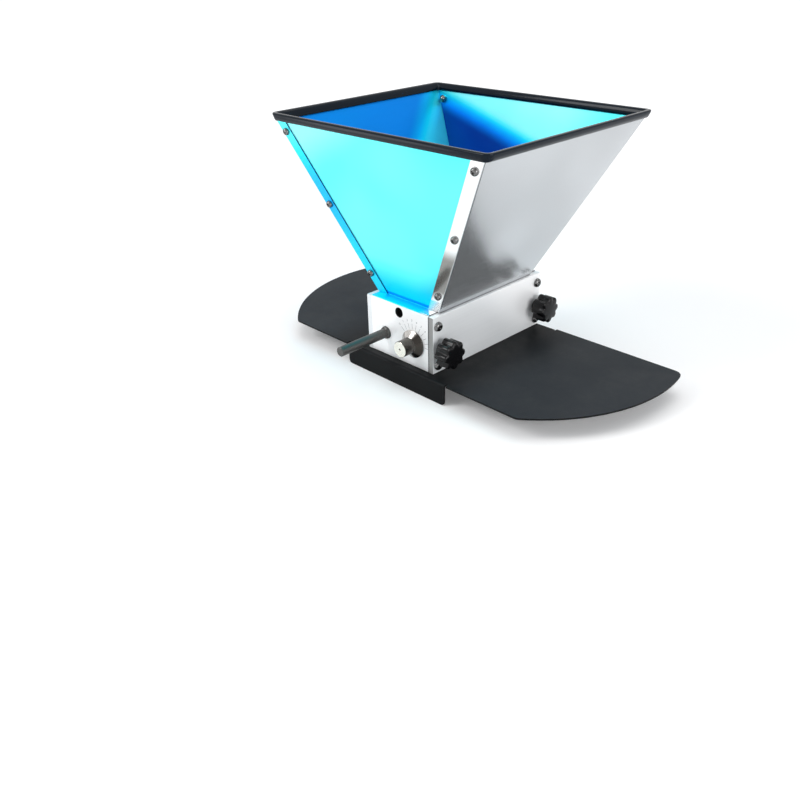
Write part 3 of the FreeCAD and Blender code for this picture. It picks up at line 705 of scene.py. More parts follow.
def banded(bm, lower, upper):
    """Faces between two closed rings of as many points."""
    for i in range(len(lower)):
        bm.faces.new((lower[i - 1], lower[i], upper[i], upper[i - 1]))


def skinned(rings, loop=False):
    """Mesh through closed rings of as many points each. A loop is closed, any other has capped ends."""
    bm = bmesh.new()
    rows = [[bm.verts.new(point) for point in ring] for ring in rings]
    if not loop:
        bm.faces.new(rows[0][::-1])
        bm.faces.new(rows[-1])
    for lower, upper in zip(rows, rows[1:] + rows[:1] if loop else rows[1:]):
        banded(bm, lower, upper)
    return settled(bm)


def eased(points, radius, steps=4):
    """An open outline with each corner between its ends rounded, over less than half of each side."""
    found = [points[0]]
    for before, corner, after in zip(points, points[1:], points[2:]):
        sides = [(point, math.dist(corner, point)) for point in (before, after)]
        reach = min(radius, *(EASED_SHARE * long for point, long in sides))
        start, end = [[c + reach * (p - c) / long for c, p in zip(corner, point)]
                      for point, long in sides]
        for step in range(steps + 1):
            t = step / steps
            found.append(tuple((1 - t) ** 2 * a + 2 * t * (1 - t) * c + t * t * b
                               for a, c, b in zip(start, corner, end)))
    return found + [points[-1]]


def turned(profile, origin, axis, sides=72):
    """Mesh of a (radius, distance along the axis) profile turned about an axis through origin."""
    side = axis.orthogonal().normalized()
    other = axis.cross(side)
    turns = [2 * math.pi * i / sides for i in range(sides)]
    return skinned([[origin + axis * along + radius * (side * math.cos(turn) + other * math.sin(turn))
                     for turn in turns] for radius, along in profile])


def upright(outline, start, height, end_size=1.0):
    """Mesh of a flat outline carried up from a start, to end_size times its size."""
    return skinned([[Vector((0, 0, start)) + UP * along + size * (ACROSS * u + ALONG * v)
                     for u, v in outline] for along, size in ((0.0, 1.0), (height, end_size))])


def combined(mesh, tool, operation="DIFFERENCE"):
    """The mesh after a cut (DIFFERENCE), a join (UNION) or keeping what both share (INTERSECT)."""
    piece = added("blank", mesh)
    other = added("tool", tool)
    modifier = piece.modifiers.new("Combine", "BOOLEAN")
    modifier.object = other
    modifier.operation = operation
    modifier.solver = "EXACT"
    result = evaluated(piece)
    bpy.data.objects.remove(other)
    return result


def bored(mesh, origin, way, radius, start, stop, sides):
    """The mesh with a round hole from start to stop along a way through origin."""
    tool = turned([(AXIS_R, start), (radius, start), (radius, stop), (AXIS_R, stop)], origin, way, sides)
    return combined(mesh, tool)


def softened(mesh, width, segments, angle):
    """The mesh with rounds on edges sharper than an angle, or by the edges' own weights at angle 0."""
    piece = added("softened", mesh)
    bevel = piece.modifiers.new("Edges", "BEVEL")
    bevel.width = width
    bevel.segments = segments
    bevel.limit_method = "ANGLE" if angle else "WEIGHT"
    bevel.angle_limit = angle
    bevel.use_clamp_overlap = False
    mesh.shade_smooth()
    weigh = piece.modifiers.new("Flat faces", "WEIGHTED_NORMAL")
    weigh.weight = 100
    weigh.keep_sharp = True
    return evaluated(piece)


def welded(name):
    """A frame node's mesh with its points merged, for editing."""
    bm = bmesh.new()
    bm.from_mesh(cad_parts[name].data)
    bmesh.ops.remove_doubles(bm, verts=bm.verts, dist=WELD)
    return bm


def flat_copy(name):
    """A frame node's mesh with its flat faces joined, for editing."""
    bm = welded(name)
    bmesh.ops.dissolve_limit(bm, angle_limit=FLAT, verts=bm.verts, edges=bm.edges)
    return bm


def node_copy(name, width):
    """A frame node's mesh with its flat faces joined and its edges eased."""
    return softened(mesh_of(flat_copy(name)), width, 2, math.radians(40))


def sheet_copy(name, edge, bend):
    """A frame node of folded sheet with its cut edges eased and its folds rounded.

    A fold is an edge between two broad faces. It is rounded less on its inside than on its outside.
    """
    bm = flat_copy(name)
    weights = bm.edges.layers.float.new("bevel_weight_edge")
    for line in bm.edges:
        if len(line.link_faces) == 2 and line.calc_face_angle(0.0) >= math.radians(20):
            fold = min(face.calc_area() for face in line.link_faces) > BROAD_FACE
            line[weights] = (1.0 if line.is_convex else INSIDE_FOLD) if fold else edge / bend
    return softened(mesh_of(bm), bend, 3, 0.0)


def merged(meshes):
    """One mesh of several."""
    bm = bmesh.new()
    for mesh in meshes:
        bm.from_mesh(mesh)
    return mesh_of(bm)


def shaded(mesh, degrees=35):
    """The mesh in smooth shading, with edges sharper than an angle left sharp."""
    mesh.shade_smooth()
    mesh.set_sharp_from_angle(angle=math.radians(degrees))
    return mesh


def show(name, mesh, material, body, slot, *nodes):
    """Put a finished mesh on its body in the place of the frame's nodes."""
    mesh.name = name
    mesh.materials.clear()
    mesh.materials.append(material)
    piece = added(name, mesh)
    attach(piece, body)
    if nodes:
        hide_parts(*nodes)


def paint_node(name, material):
    """Give a frame node that stays its finish."""
    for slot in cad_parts[name].material_slots:
        slot.material = material


# Places from the frame


def middle(name):
    low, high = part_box(name)
    return (low + high) / 2


def radius_of(name):
    """Half the height of a round frame node."""
    low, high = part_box(name)
    return (high.z - low.z) / 2


def span(name, way):
    """Where a frame node's box starts and ends along a way."""
    return sorted(corner.dot(way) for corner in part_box(name))


def ray(turn):
    """The way at a clockwise angle from 12 o'clock, seen from the front."""
    return Vector((math.sin(turn), 0, math.cos(turn)))


def solids_of(name):
    """The points of each separate solid in a frame node."""
    bm = welded(name)
    for vert in bm.verts:
        vert.tag = False
    found = []
    for first in bm.verts:
        if first.tag:
            continue
        first.tag = True
        island = [first]
        for vert in island:
            for edge in vert.link_edges:
                beside = edge.other_vert(vert)
                if not beside.tag:
                    beside.tag = True
                    island.append(beside)
        found.append([vert.co.copy() for vert in island])
    bm.free()
    return found


def largest_face(name, way):
    """Normal and distance from the origin of a node's largest face towards a way."""
    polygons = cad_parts[name].data.polygons
    face = max((p for p in polygons if p.normal.dot(way) > 0.5), key=lambda p: p.area)
    return face.normal.copy(), face.normal.dot(face.center)


def heads(name, way_out, head_height):
    """Seat and way out of each fastener in a node. way_out is a function of the fastener's middle."""
    found = []
    for points in solids_of(name):
        out = way_out(sum(points, Vector()) / len(points))
        top = max(point.dot(out) for point in points)
        outer = [point for point in points if point.dot(out) > top - 10 * WELD]
        found.append((sum(outer, Vector()) / len(outer) - out * head_height, out))
    return found


# Geometry Nodes


def shape_tree(name, **inputs):
    """An empty tree with inputs of given kinds, by label with _ for a space, and one for its finish."""
    tree = bpy.data.node_groups.new(name, "GeometryNodeTree")
    for label, kind in {**inputs, "Finish": "Material"}.items():
        tree.interface.new_socket(label.replace("_", " "), in_out="INPUT",
                                  socket_type="NodeSocket" + kind)
    tree.interface.new_socket("Shape", in_out="OUTPUT", socket_type="NodeSocketGeometry")
    return tree, tree.nodes.new("NodeGroupInput").outputs


def finished_tree(tree, given, shape):
    """The tree with its end: real geometry with its finish."""
    real = node(tree, "GeometryNodeRealizeInstances", {"Geometry": shape})
    painted = node(tree, "GeometryNodeSetMaterial",
                   {"Geometry": real.outputs[0], "Material": given["Finish"]})
    return wired(tree, tree.nodes.new("NodeGroupOutput").inputs, Shape=painted.outputs[0])


def copied(tree, given, points, shape, rotation):
    """The finished tree with a copy of a shape on each point."""
    copies = node(tree, "GeometryNodeInstanceOnPoints",
                  {"Points": points, "Instance": shape, "Rotation": rotation})
    return finished_tree(tree, given, copies.outputs[0])


def moved(tree, given, way, lift):
    """The finished tree with its blank's points moved along a way, times a lift."""
    offset = vectors(tree, "SCALE", way, Scale=lift)
    move = node(tree, "GeometryNodeSetPosition", {"Geometry": given["Blank"], "Offset": offset})
    return finished_tree(tree, given, move.outputs[0])


def from_axis(tree, given):
    """Each point's place from the given axis."""
    return vectors(tree, "SUBTRACT", node(tree, "GeometryNodeInputPosition").outputs[0], given["Axis"])


def attribute(tree, name, kind="FLOAT"):
    found = node(tree, "GeometryNodeInputNamedAttribute", {"Name": name}, data_type=kind)
    return found.outputs["Attribute"]


def fastener_tree():
    """Tree that sets one fastener on each point, turned to its own way out."""
    tree, given = shape_tree("Fasteners", Places="Geometry", Fastener="Object", Random_turn="Float",
                             Seed="Int")
    aligned = node(tree, "FunctionNodeAlignRotationToVector",
                   {"Vector": attribute(tree, "out", "FLOAT_VECTOR")}, axis="Z")
    turn = node(tree, "FunctionNodeRandomValue", {3: given["Random turn"], "Seed": given["Seed"]},
                data_type="FLOAT")
    spin = node(tree, "FunctionNodeAxisAngleToRotation", {"Axis": (0, 0, 1), "Angle": turn.outputs[1]})
    both = node(tree, "FunctionNodeRotateRotation",
                {"Rotation": aligned.outputs[0], "Rotate By": spin.outputs[0]}, rotation_space="LOCAL")
    shape = node(tree, "GeometryNodeObjectInfo", {"Object": given["Fastener"]})
    return copied(tree, given, given["Places"], shape.outputs["Geometry"], both.outputs[0])


def knurl_tree():
    """Tree that lifts a blank's peaks away from an axis along Y, for a diamond knurl."""
    tree, given = shape_tree("Diamond knurl", Blank="Geometry", Axis="Vector", Depth="Float")
    across = vectors(tree, "MULTIPLY", from_axis(tree, given), (1, 0, 1))
    return moved(tree, given, vectors(tree, "NORMALIZE", across),
                 times(tree, attribute(tree, "peak"), given["Depth"]))


def lobe_tree():
    """Tree that cuts hollows between lobes in a blank turned about an axis along X."""
    tree, given = shape_tree("Star lobes", Blank="Geometry", Axis="Vector", Radius="Float", Lobes="Int",
                             Hollow="Float", Narrowness="Float")
    place = from_axis(tree, given)
    parts = apart(tree, place)
    turn = maths(tree, "ARCTAN2", parts["Z"], parts["Y"])
    half = times(tree, times(tree, given["Lobes"], 0.5), turn)
    wave = maths(tree, "POWER", size_of(tree, maths(tree, "SINE", half)), given["Narrowness"])
    depth = maths(tree, "DIVIDE", times(tree, given["Hollow"], attribute(tree, "cut")), given["Radius"])
    inwards = times(tree, times(tree, wave, depth), -1.0)
    return moved(tree, given, vectors(tree, "MULTIPLY", place, (0, 1, 1)), inwards)


def tick_tree():
    """Tree for the scale's lines: thin bars on an arc about an axis along Y."""
    tree, given = shape_tree("Scale lines", Axis="Geometry", Lines="Int", First="Float", Step="Float",
                             Inner="Float", Outer="Float", Width="Float", Depth="Float")
    long = minus(tree, given["Outer"], given["Inner"])
    size = together(tree, X=given["Width"], Y=given["Depth"], Z=long)
    bar = node(tree, "GeometryNodeMeshCube", {"Size": size}).outputs["Mesh"]
    centre = times(tree, plus(tree, given["Outer"], given["Inner"]), 0.5)
    up = together(tree, Z=centre)
    raised = node(tree, "GeometryNodeTransform", {"Geometry": bar, "Translation": up})
    many = node(tree, "GeometryNodeDuplicateElements",
                {"Geometry": given["Axis"], "Amount": given["Lines"]}, domain="POINT").outputs
    turn = plus(tree, given["First"], times(tree, many["Duplicate Index"], given["Step"]))
    rotation = node(tree, "FunctionNodeEulerToRotation", {"Euler": together(tree, Y=turn)})
    return copied(tree, given, many["Geometry"], raised.outputs[0], rotation.outputs[0])


def grown(tree, carrier_mesh, **values):
    """Plain mesh that a tree makes of a mesh. Its inputs are set by label, with _ for a space."""
    carrier = added("carrier", carrier_mesh)
    modifier = carrier.modifiers.new("Grow", "NODES")
    modifier.node_group = tree
    for socket in tree.interface.items_tree:
        label = socket.name.replace(" ", "_")
        if socket.item_type == "SOCKET" and socket.in_out == "INPUT" and label in values:
            modifier[socket.identifier] = values[label]
    return evaluated(carrier)


# Fasteners


def fastened(places, shape, material):
    """A fastener's shape, seat at the origin and head towards Z, on each (seat, way out)."""
    tree = bpy.data.node_groups.get("Fasteners") or fastener_tree()
    carrier = bpy.data.meshes.new("places")
    carrier.from_pydata([seat for seat, out in places], [], [])
    ways = carrier.attributes.new("out", "FLOAT_VECTOR", "POINT")
    ways.data.foreach_set("vector", [value for seat, out in places for value in out])
    pattern = added("pattern", shape)
    mesh = grown(tree, carrier, Fastener=pattern, Finish=material, Random_turn=2 * math.pi,
                 Seed=FASTENER_SEED)
    bpy.data.objects.remove(pattern)
    return mesh


def cross_outline(width, reach):
    """Outline of a cross with square arms."""
    w = width / 2
    return [(c * u - s * v, s * u + c * v) for c, s in ((1, 0), (0, 1), (-1, 0), (0, -1))
            for u, v in ((reach, -w), (reach, w), (w, w))]


def hexagon(flats):
    """Outline with six sides, by its size across flats."""
    corner = flats / math.sqrt(3)
    return [(corner * math.cos(i * math.pi / 3), corner * math.sin(i * math.pi / 3)) for i in range(6)]


def screw_head(diameter, height, shank, top, ease):
    """Turned screw head, seat at the origin, facing Z. Its top is in shares of radius and height."""
    r = diameter / 2
    profile = [(shank / 2, -0.6 * height), (shank / 2, 0.0), (r, 0.0)]
    profile += [(a * r, b * height) for a, b in top]
    return turned(eased(profile, ease * r), Vector(), UP, HEAD_SIDES)


def pan_head(diameter, height, recess, shank):
    """Pan-head screw with a cross recess that narrows with its depth."""
    head = screw_head(diameter, height, shank, PAN_TOP, 0.14)
    r = diameter / 2
    cross = cross_outline(0.20 * r, 0.34 * r)
    return shaded(combined(head, upright(cross, height - recess, 2 * recess, 2.4)))


def socket_head(diameter, height, flats, shank):
    """Cylinder-head screw with a six-sided socket, half as deep as the head."""
    head = screw_head(diameter, height, shank, ((1.0, 1.0), (0.02, 1.0)), 0.12)
    return shaded(combined(head, upright(hexagon(flats), height / 2, height)))


def cap_nut(flats, height, cap):
    """Six-sided nut with chamfered corners under a domed cap. It stands on the origin and faces Z."""
    corner = flats / math.sqrt(3)
    bound = turned([(a * corner, b * height) for a, b in NUT_BOUND], Vector(), UP, HEAD_SIDES)
    nut = combined(upright(hexagon(flats), 0.0, height), bound, "INTERSECT")
    r = 0.44 * flats
    turns = [i * math.pi / 2 / DOME_STEPS for i in range(DOME_STEPS + 1)]
    dome = [(r, 0.5 * height)] + [(r * math.cos(turn) + 0.004 * r, height + cap * math.sin(turn))
                                  for turn in turns]
    return shaded(combined(nut, turned(dome, Vector(), UP, HEAD_SIDES), "UNION"))


# Operators


def colours_of(context):
    return context.scene.mill_finish


def made(name, maker):
    """A material by name, made the first time that it is asked for."""
    return bpy.data.materials.get(name) or maker()


def screw_finish(context):
    rgb = colours_of(context).screws
    return made("screw_plating", lambda: metal("screw_plating", rgb, EVEN_STREAKS, 0.10, 0.18))


def shaft_finish(context, node_name, suffix):
    rgb = colours_of(context).shaft
    name = "shaft_steel_" + suffix
    return made(name, lambda: turned_metal(name, rgb, middle(node_name), 0.36, 0.50, 2200.0))


class MILL_OT_base_plate(bpy.types.Operator):
    """Base plate in charcoal powder coat, with eased edges"""

    bl_idname = "mill.base_plate"
    bl_label = "Base plate"

    def execute(self, context):
        mesh = node_copy("base_plate", BASE_EDGE)
        coat = powder_coat(colours_of(context))
        show("base_plate_sheet", mesh, coat, "mill", "powder_coat", "base_plate")
        return {"FINISHED"}


class MILL_OT_body(bpy.types.Operator):
    """The body's four satin plates, with eased edges"""

    bl_idname = "mill.body"
    bl_label = "Body plates"

    def execute(self, context):
        colours = colours_of(context)
        edge = context.scene.mill_sizes.plate_edge
        seam = ((ALONG, ACROSS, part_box("right_side_plate")[0].x),)
        bore = ((middle("tie_rod"), TIE_BORE_R),)
        for name, rgb, streaks, joints, bores, pale, ends in (
                ("front_end_plate", colours.plate, END_STREAKS, seam, bore, LEFT_PAINTED_LIGHT, None),
                ("rear_end_plate", colours.plate, END_STREAKS, seam, bore, LEFT_PAINTED_LIGHT, None),
                ("right_side_plate", colours.side, SIDE_STREAKS, seam, (), REAR_PAINTED_LIGHT, colours.plate_end),
                ("left_side_plate", colours.side, SIDE_STREAKS, (), (), REAR_PAINTED_LIGHT, None)):
            satin = metal("satin_" + name, rgb, streaks, 0.36, 0.46, 0.03, 0.015, 0.2, joints, bores,
                          pale, ends)
            show(name + "_satin", node_copy(name, edge), satin, "mill", "body_plate", name)
        return {"FINISHED"}


def front_depth(tree, parts):
    """Film depth outside the front panel, painted reflection and shade: pale at its upper left,
    deepening towards its fold, deep at its fold, bright below it.
    """
    slant = plus(tree, parts["Z"], times(tree, parts["X"], -0.55))
    pale = mapped(tree, slant, 0.235, 0.285, 0.13, 0.03)
    low = mapped(tree, parts["Z"], 0.122, 0.086, 0.0, 0.20)
    fold = mapped(tree, parts["Z"], 0.0850, 0.0828, 0.0, 0.34)
    foot = mapped(tree, parts["Z"], 0.0812, 0.0805, 0.0, -0.33)
    return plus(tree, plus(tree, pale, low), plus(tree, fold, foot))


def strip_depth(tree, parts):
    """Film depth on the left panel's flange: deepest half way up."""
    up = mapped(tree, parts["Z"], 0.10, 0.165, 0.32, 0.48)
    return plus(tree, up, mapped(tree, parts["Z"], 0.175, 0.235, 0.0, -0.32))


def left_inner_depth(tree, parts):
    """Film depth inside the left panel, a painted reflection: mid blue, bright in a wedge by the rear
    corner.
    """
    return mapped(tree, minus(tree, parts["Y"], parts["Z"]), -0.150, -0.112, 0.72, 0.20)


def rear_inner_depth(tree, parts):
    """Film depth inside the rear panel, a painted reflection: deep at the lower left, bright at the
    upper right.
    """
    slant = plus(tree, parts["Z"], times(tree, parts["X"], 0.27))
    deep = mapped(tree, slant, 0.185, 0.213, 0.98, 0.04)
    return plus(tree, deep, mapped(tree, parts["X"], 0.03, 0.12, 0.0, 0.13))


def even_depth(tree, parts):
    """Film depth that grows a little towards the foot."""
    return mapped(tree, parts["Z"], 0.24, 0.09, 0.14, 0.34)


def all_filmed(tree, parts, inner):
    return 0.0


def bare_outside(tree, parts, inner):
    return minus(tree, 1.0, inner)


def bare_foot_end(tree, parts, inner):
    """The right end of a foot, where the film has been cut off."""
    return times(tree, mapped(tree, parts["Z"], 0.0815, 0.0808), mapped(tree, parts["X"], 0.024, 0.036))


class MILL_OT_hopper(bpy.types.Operator):
    """The hopper's four panels: film on all but the outside of the right one"""

    bl_idname = "mill.hopper"
    bl_label = "Hopper panels"

    def execute(self, context):
        sizes = context.scene.mill_sizes
        colours = colours_of(context)
        fold = largest_face("hopper_front_panel", -ALONG)
        ends = (fold, largest_face("hopper_rear_panel", ALONG))
        flange_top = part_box("rim_trim")[0].z - FLANGE_GAP
        lift = sizes.rim_lift + FLANGE_GAP - SLIT
        for name, outside, paint, inner_paint, bare, past, slot in (
                ("front", -ALONG, front_depth, even_depth, bare_foot_end, None, "filmed_steel"),
                ("rear", ALONG, even_depth, rear_inner_depth, bare_foot_end, None, "filmed_steel"),
                ("left", -ACROSS, strip_depth, left_inner_depth, all_filmed, fold, "filmed_steel"),
                ("right", ACROSS, even_depth, even_depth, bare_outside, fold, "bare_steel")):
            panel = "hopper_" + name + "_panel"
            film = filmed_steel("film_" + name, colours, outside, paint, inner_paint, bare, past)
            mesh = sheet_copy(panel, sizes.sheet_edge, sizes.sheet_bend)
            if past:
                raise_flanges(mesh, largest_face(panel, outside)[0], ends, flange_top, lift)
            show(panel + "_sheet", mesh, film, "mill", slot, panel)
        return {"FINISHED"}


def raise_flanges(mesh, side, ends, height, lift):
    """Draw the upper ends of a side panel's flanges out along its folds, to the trim's lower edge."""
    for normal, distance in ends:
        along = side.cross(normal)
        along *= lift / along.z
        for vert in mesh.vertices:
            if abs(vert.co.z - height) < 0.3 * MM and vert.co.dot(normal) > distance - 0.05 * MM:
                vert.co += along


def ring_at(planes, offset, z, corner):
    """Closed ring round the hopper at a height, moved out of the sheet by an offset."""
    x0, x1, y0, y1 = [(distance + offset - normal.z * z) / max(normal.x, normal.y, key=abs)
                      for normal, distance in planes]
    corners = ((x1 - corner, y0 + corner, -90), (x1 - corner, y1 - corner, 0),
               (x0 + corner, y1 - corner, 90), (x0 + corner, y0 + corner, 180))

    def on_arc(index, part):
        x, y, start = corners[index % 4]
        turn = math.radians(start + 90 * part)
        return Vector((x + corner * math.cos(turn), y + corner * math.sin(turn), z))

    found = []
    for i in range(4):
        found += [on_arc(i, step / RIM_CORNER_STEPS) for step in range(RIM_CORNER_STEPS + 1)]
        last, after = found[-1], on_arc(i + 1, 0)
        found += [last.lerp(after, step / RIM_SIDE_STEPS) for step in range(1, RIM_SIDE_STEPS)]
    return found


class MILL_OT_rim(bpy.types.Operator):
    """Glossy rubber trim pushed over the mouth's edge"""

    bl_idname = "mill.rim"
    bl_label = "Rim trim"

    def execute(self, context):
        sizes = context.scene.mill_sizes
        planes = [largest_face("hopper_" + side + "_panel", way) for side, way in
                  (("left", -ACROSS), ("right", ACROSS), ("front", -ALONG), ("rear", ALONG))]
        low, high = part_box("rim_trim")
        bottom, top = low.z + sizes.rim_lift, high.z - sizes.rim_drop
        levels = {"bottom": bottom, "waist": bottom + RIM_WAIST * (top - bottom), "top": top,
                  "sheet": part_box("hopper_front_panel")[1].z}
        outer, slot = [[(offset * MM, levels[level]) for offset, level in line]
                       for line in (RIM_OUTLINE, RIM_SLOT)]
        rings = []
        for offset, z in eased(outer, RIM_ROUND, 5) + slot:
            below = max(0.0, 1 - (z - bottom) / (levels["waist"] - bottom)) if offset > 0 else 0
            corner = max(RIM_CORNER_LEAST, RIM_CORNER + offset - RIM_CORNER_DROP * below)
            rings.append(ring_at(planes, offset, z, corner))
        mesh = shaded(skinned(rings, loop=True), 50)
        rubber = glossy_black("trim_rubber", colours_of(context).rubber, 0.12, 0.18, 120.0, 0.03,
                              Specular_IOR_Level=0.15)
        show("rim_trim_rubber", mesh, rubber, "mill", "black_rubber", "rim_trim")
        return {"FINISHED"}


class MILL_OT_screws(bpy.types.Operator):
    """Plate, base, tie-rod and hopper screws, and the hopper's cap nuts"""

    bl_idname = "mill.screws"
    bl_label = "Fasteners"

    def execute(self, context):
        sizes = context.scene.mill_sizes
        steel = screw_finish(context)
        black = metal("socket_screw_oxide", colours_of(context).oxide, EVEN_STREAKS, 0.30, 0.42)
        centre = middle("base_plate")
        front = largest_face("hopper_front_panel", -ALONG)[0]
        rear = largest_face("hopper_rear_panel", ALONG)[0]
        nut_height = NUT_BODY + NUT_CAP

        def hopper_out(place):
            return front if place.y < centre.y else rear

        for name, suffix, way_out, height, shape, surface in (
                ("side_plate_screws", "_heads", lambda p: ACROSS if p.x > 0 else -ACROSS,
                 sizes.plate_head, pan_head(M5_PAN, sizes.plate_head, sizes.recess, M5_SHANK), steel),
                ("base_screws", "_heads", lambda p: -UP, sizes.base_head,
                 pan_head(M5_PAN, sizes.base_head, sizes.recess, M5_SHANK), steel),
                ("tie_rod_screws", "_heads", lambda p: -ALONG if p.y < middle("tie_rod").y else ALONG,
                 sizes.tie_head, socket_head(TIE_HEAD, sizes.tie_head, TIE_KEY, TIE_SHANK), black),
                ("hopper_screws", "_heads", hopper_out, sizes.hopper_head,
                 pan_head(M4_PAN, sizes.hopper_head, sizes.recess, M4_SHANK), steel),
                ("hopper_cap_nuts", "_domed", lambda p: -hopper_out(p), nut_height,
                 cap_nut(NUT_FLATS, NUT_BODY, NUT_CAP), steel)):
            mesh = fastened(heads(name, way_out, height), shape, surface)
            show(name + suffix, mesh, surface, "mill", "screw_steel", name)
        return {"FINISHED"}


def roller_blank(place, radius, half, bore, depth, pitch):
    """Blank of a bored roller along Y with chamfered ends. Every other point of its wall is a peak."""
    around = 2 * round(math.pi * radius / pitch)
    rows = 2 * round((half - ROLLER_CHAMFER) / pitch) + 1
    valley = radius - depth
    bm = bmesh.new()
    peaks = bm.verts.layers.float.new("peak")

    def ring(r, y, phase=None):
        found = []
        for i in range(around):
            turn = 2 * math.pi * i / around
            x, z = place.x + r * math.cos(turn), place.z + r * math.sin(turn)
            point = bm.verts.new((x, place.y + y, z))
            point[peaks] = 1.0 if phase is not None and (i + phase) % 2 == 0 else 0.0
            found.append(point)
        return found

    grid = [ring(valley, (half - ROLLER_CHAMFER) * (2 * k / (rows - 1) - 1), k) for k in range(rows)]
    for k, (lower, upper) in enumerate(zip(grid, grid[1:])):
        for i in range(around):
            j = (i + 1) % around
            corners = (lower[i], lower[j], upper[j], upper[i])
            first, second = ((0, 1, 3), (1, 2, 3)) if (i + k) % 2 == 0 else ((0, 1, 2), (0, 2, 3))
            bm.faces.new([corners[c] for c in first])
            bm.faces.new([corners[c] for c in second])
    rim = valley - ROLLER_CHAMFER
    inner, outer = ring(bore, -half), ring(rim, -half)
    far_outer, far_inner = ring(rim, half), ring(bore, half)
    for lower, upper in ((inner, outer), (outer, grid[0]), (grid[-1], far_outer), (far_outer, far_inner),
                         (far_inner, inner)):
        banded(bm, lower, upper)
    return settled(bm)


class MILL_OT_rollers(bpy.types.Operator):
    """Knurled rollers"""

    bl_idname = "mill.rollers"
    bl_label = "Rollers"

    def execute(self, context):
        sizes = context.scene.mill_sizes
        rgb = colours_of(context).roller
        knurl = knurl_tree()
        for name in ("drive_roller", "idler_roller"):
            low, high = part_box(name)
            place = middle(name)
            steel = turned_metal("roller_steel_" + name, rgb, place, 0.30, 0.44, 1500.0)
            blank = roller_blank(place, radius_of(name), (high.y - low.y) / 2, CORE_R + SLIT,
                                 sizes.knurl_depth, sizes.knurl_pitch)
            mesh = grown(knurl, blank, Axis=place, Depth=sizes.knurl_depth, Finish=steel)
            show(name + "_knurled", shaded(mesh, 20), steel, name, "roller_steel", name)
        return {"FINISHED"}


class MILL_OT_shafts(bpy.types.Operator):
    """Drive shaft with chamfered ends and its collar, and the idler's shaft"""

    bl_idname = "mill.shafts"
    bl_label = "Shafts"

    def execute(self, context):
        steel = shaft_finish(context, "drive_shaft", "drive")
        place = middle("drive_shaft")
        free, tail = span("drive_shaft", ALONG)
        start, stop = span("drive_roller", ALONG)
        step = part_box("front_end_plate")[0].y - COLLAR_OUT
        profile = [(AXIS_R, free), (DRIVE_R - SHAFT_BREAK, free), (DRIVE_R, free + SHAFT_BREAK),
                   (DRIVE_R, step - COLLAR_FILLET), (DRIVE_R + COLLAR_FILLET, step),
                   (JOURNAL_R - SHAFT_BREAK, step), (JOURNAL_R, step + SHAFT_BREAK), (JOURNAL_R, start),
                   (CORE_R, start), (CORE_R, stop), (JOURNAL_R, stop), (JOURNAL_R, tail - SHAFT_BREAK),
                   (JOURNAL_R - SHAFT_BREAK, tail), (AXIS_R, tail)]
        mesh = shaded(turned(profile, Vector((place.x, 0, place.z)), ALONG))
        show("drive_shaft_turned", mesh, steel, "drive_roller", "shaft_steel", "drive_shaft")
        paint_node("idler_shaft", shaft_finish(context, "idler_shaft", "idler"))
        return {"FINISHED"}


def dial_profile(inner, tip):
    """Profile of a dial along its way out, from its spigot to its handle. 0 is the plate's face."""
    groove, groove_end = -CLAMP_IN - GROOVE_HALF, -CLAMP_IN + GROOVE_HALF
    rim = DIAL_LIFT + RIM_THICK
    shoulder = tip - HANDLE_LONG
    return [(AXIS_R, inner), (SPIGOT_R - 0.4 * MM, inner), (SPIGOT_R, inner + 0.4 * MM),
            (SPIGOT_R, groove), (GROOVE_R, groove), (GROOVE_R, groove_end), (SPIGOT_R, groove_end),
            (SPIGOT_R, DIAL_LIFT), (FLANGE_R - DIAL_BREAK, DIAL_LIFT),
            (FLANGE_R, DIAL_LIFT + DIAL_BREAK), (FLANGE_R, rim - DIAL_BREAK), (BEVEL_R, rim),
            (BEVEL_ROOT_R, shoulder - DIAL_BREAK),
            (HANDLE_R, shoulder + 0.2 * MM), (HANDLE_R, tip - 0.5 * MM), (HANDLE_R - 0.5 * MM, tip),
            (4.6 * MM, tip), (4.5 * MM, tip - TURNED_RING), (4.3 * MM, tip - TURNED_RING),
            (4.2 * MM, tip), (1.3 * MM, tip), (AXIS_R, tip - 0.9 * MM)]


def index_cut(origin, out, tip, way):
    """Tool for a dial's index line, a groove down its bevel along a way."""
    across = out.cross(way)
    edge = origin + out * (DIAL_LIFT + RIM_THICK) + way * BEVEL_R
    root = origin + out * (tip - HANDLE_LONG - DIAL_BREAK) + way * BEVEL_ROOT_R
    start, stop = edge.lerp(root, -0.2), edge.lerp(root, 0.8)
    lift = across.cross(stop - start).normalized()
    w, h = INDEX_HALF, INDEX_DEEP
    return skinned([[point + across * a + lift * b for a, b in ((-w, -h), (w, -h), (w, h), (-w, h))]
                    for point in (start, stop)])


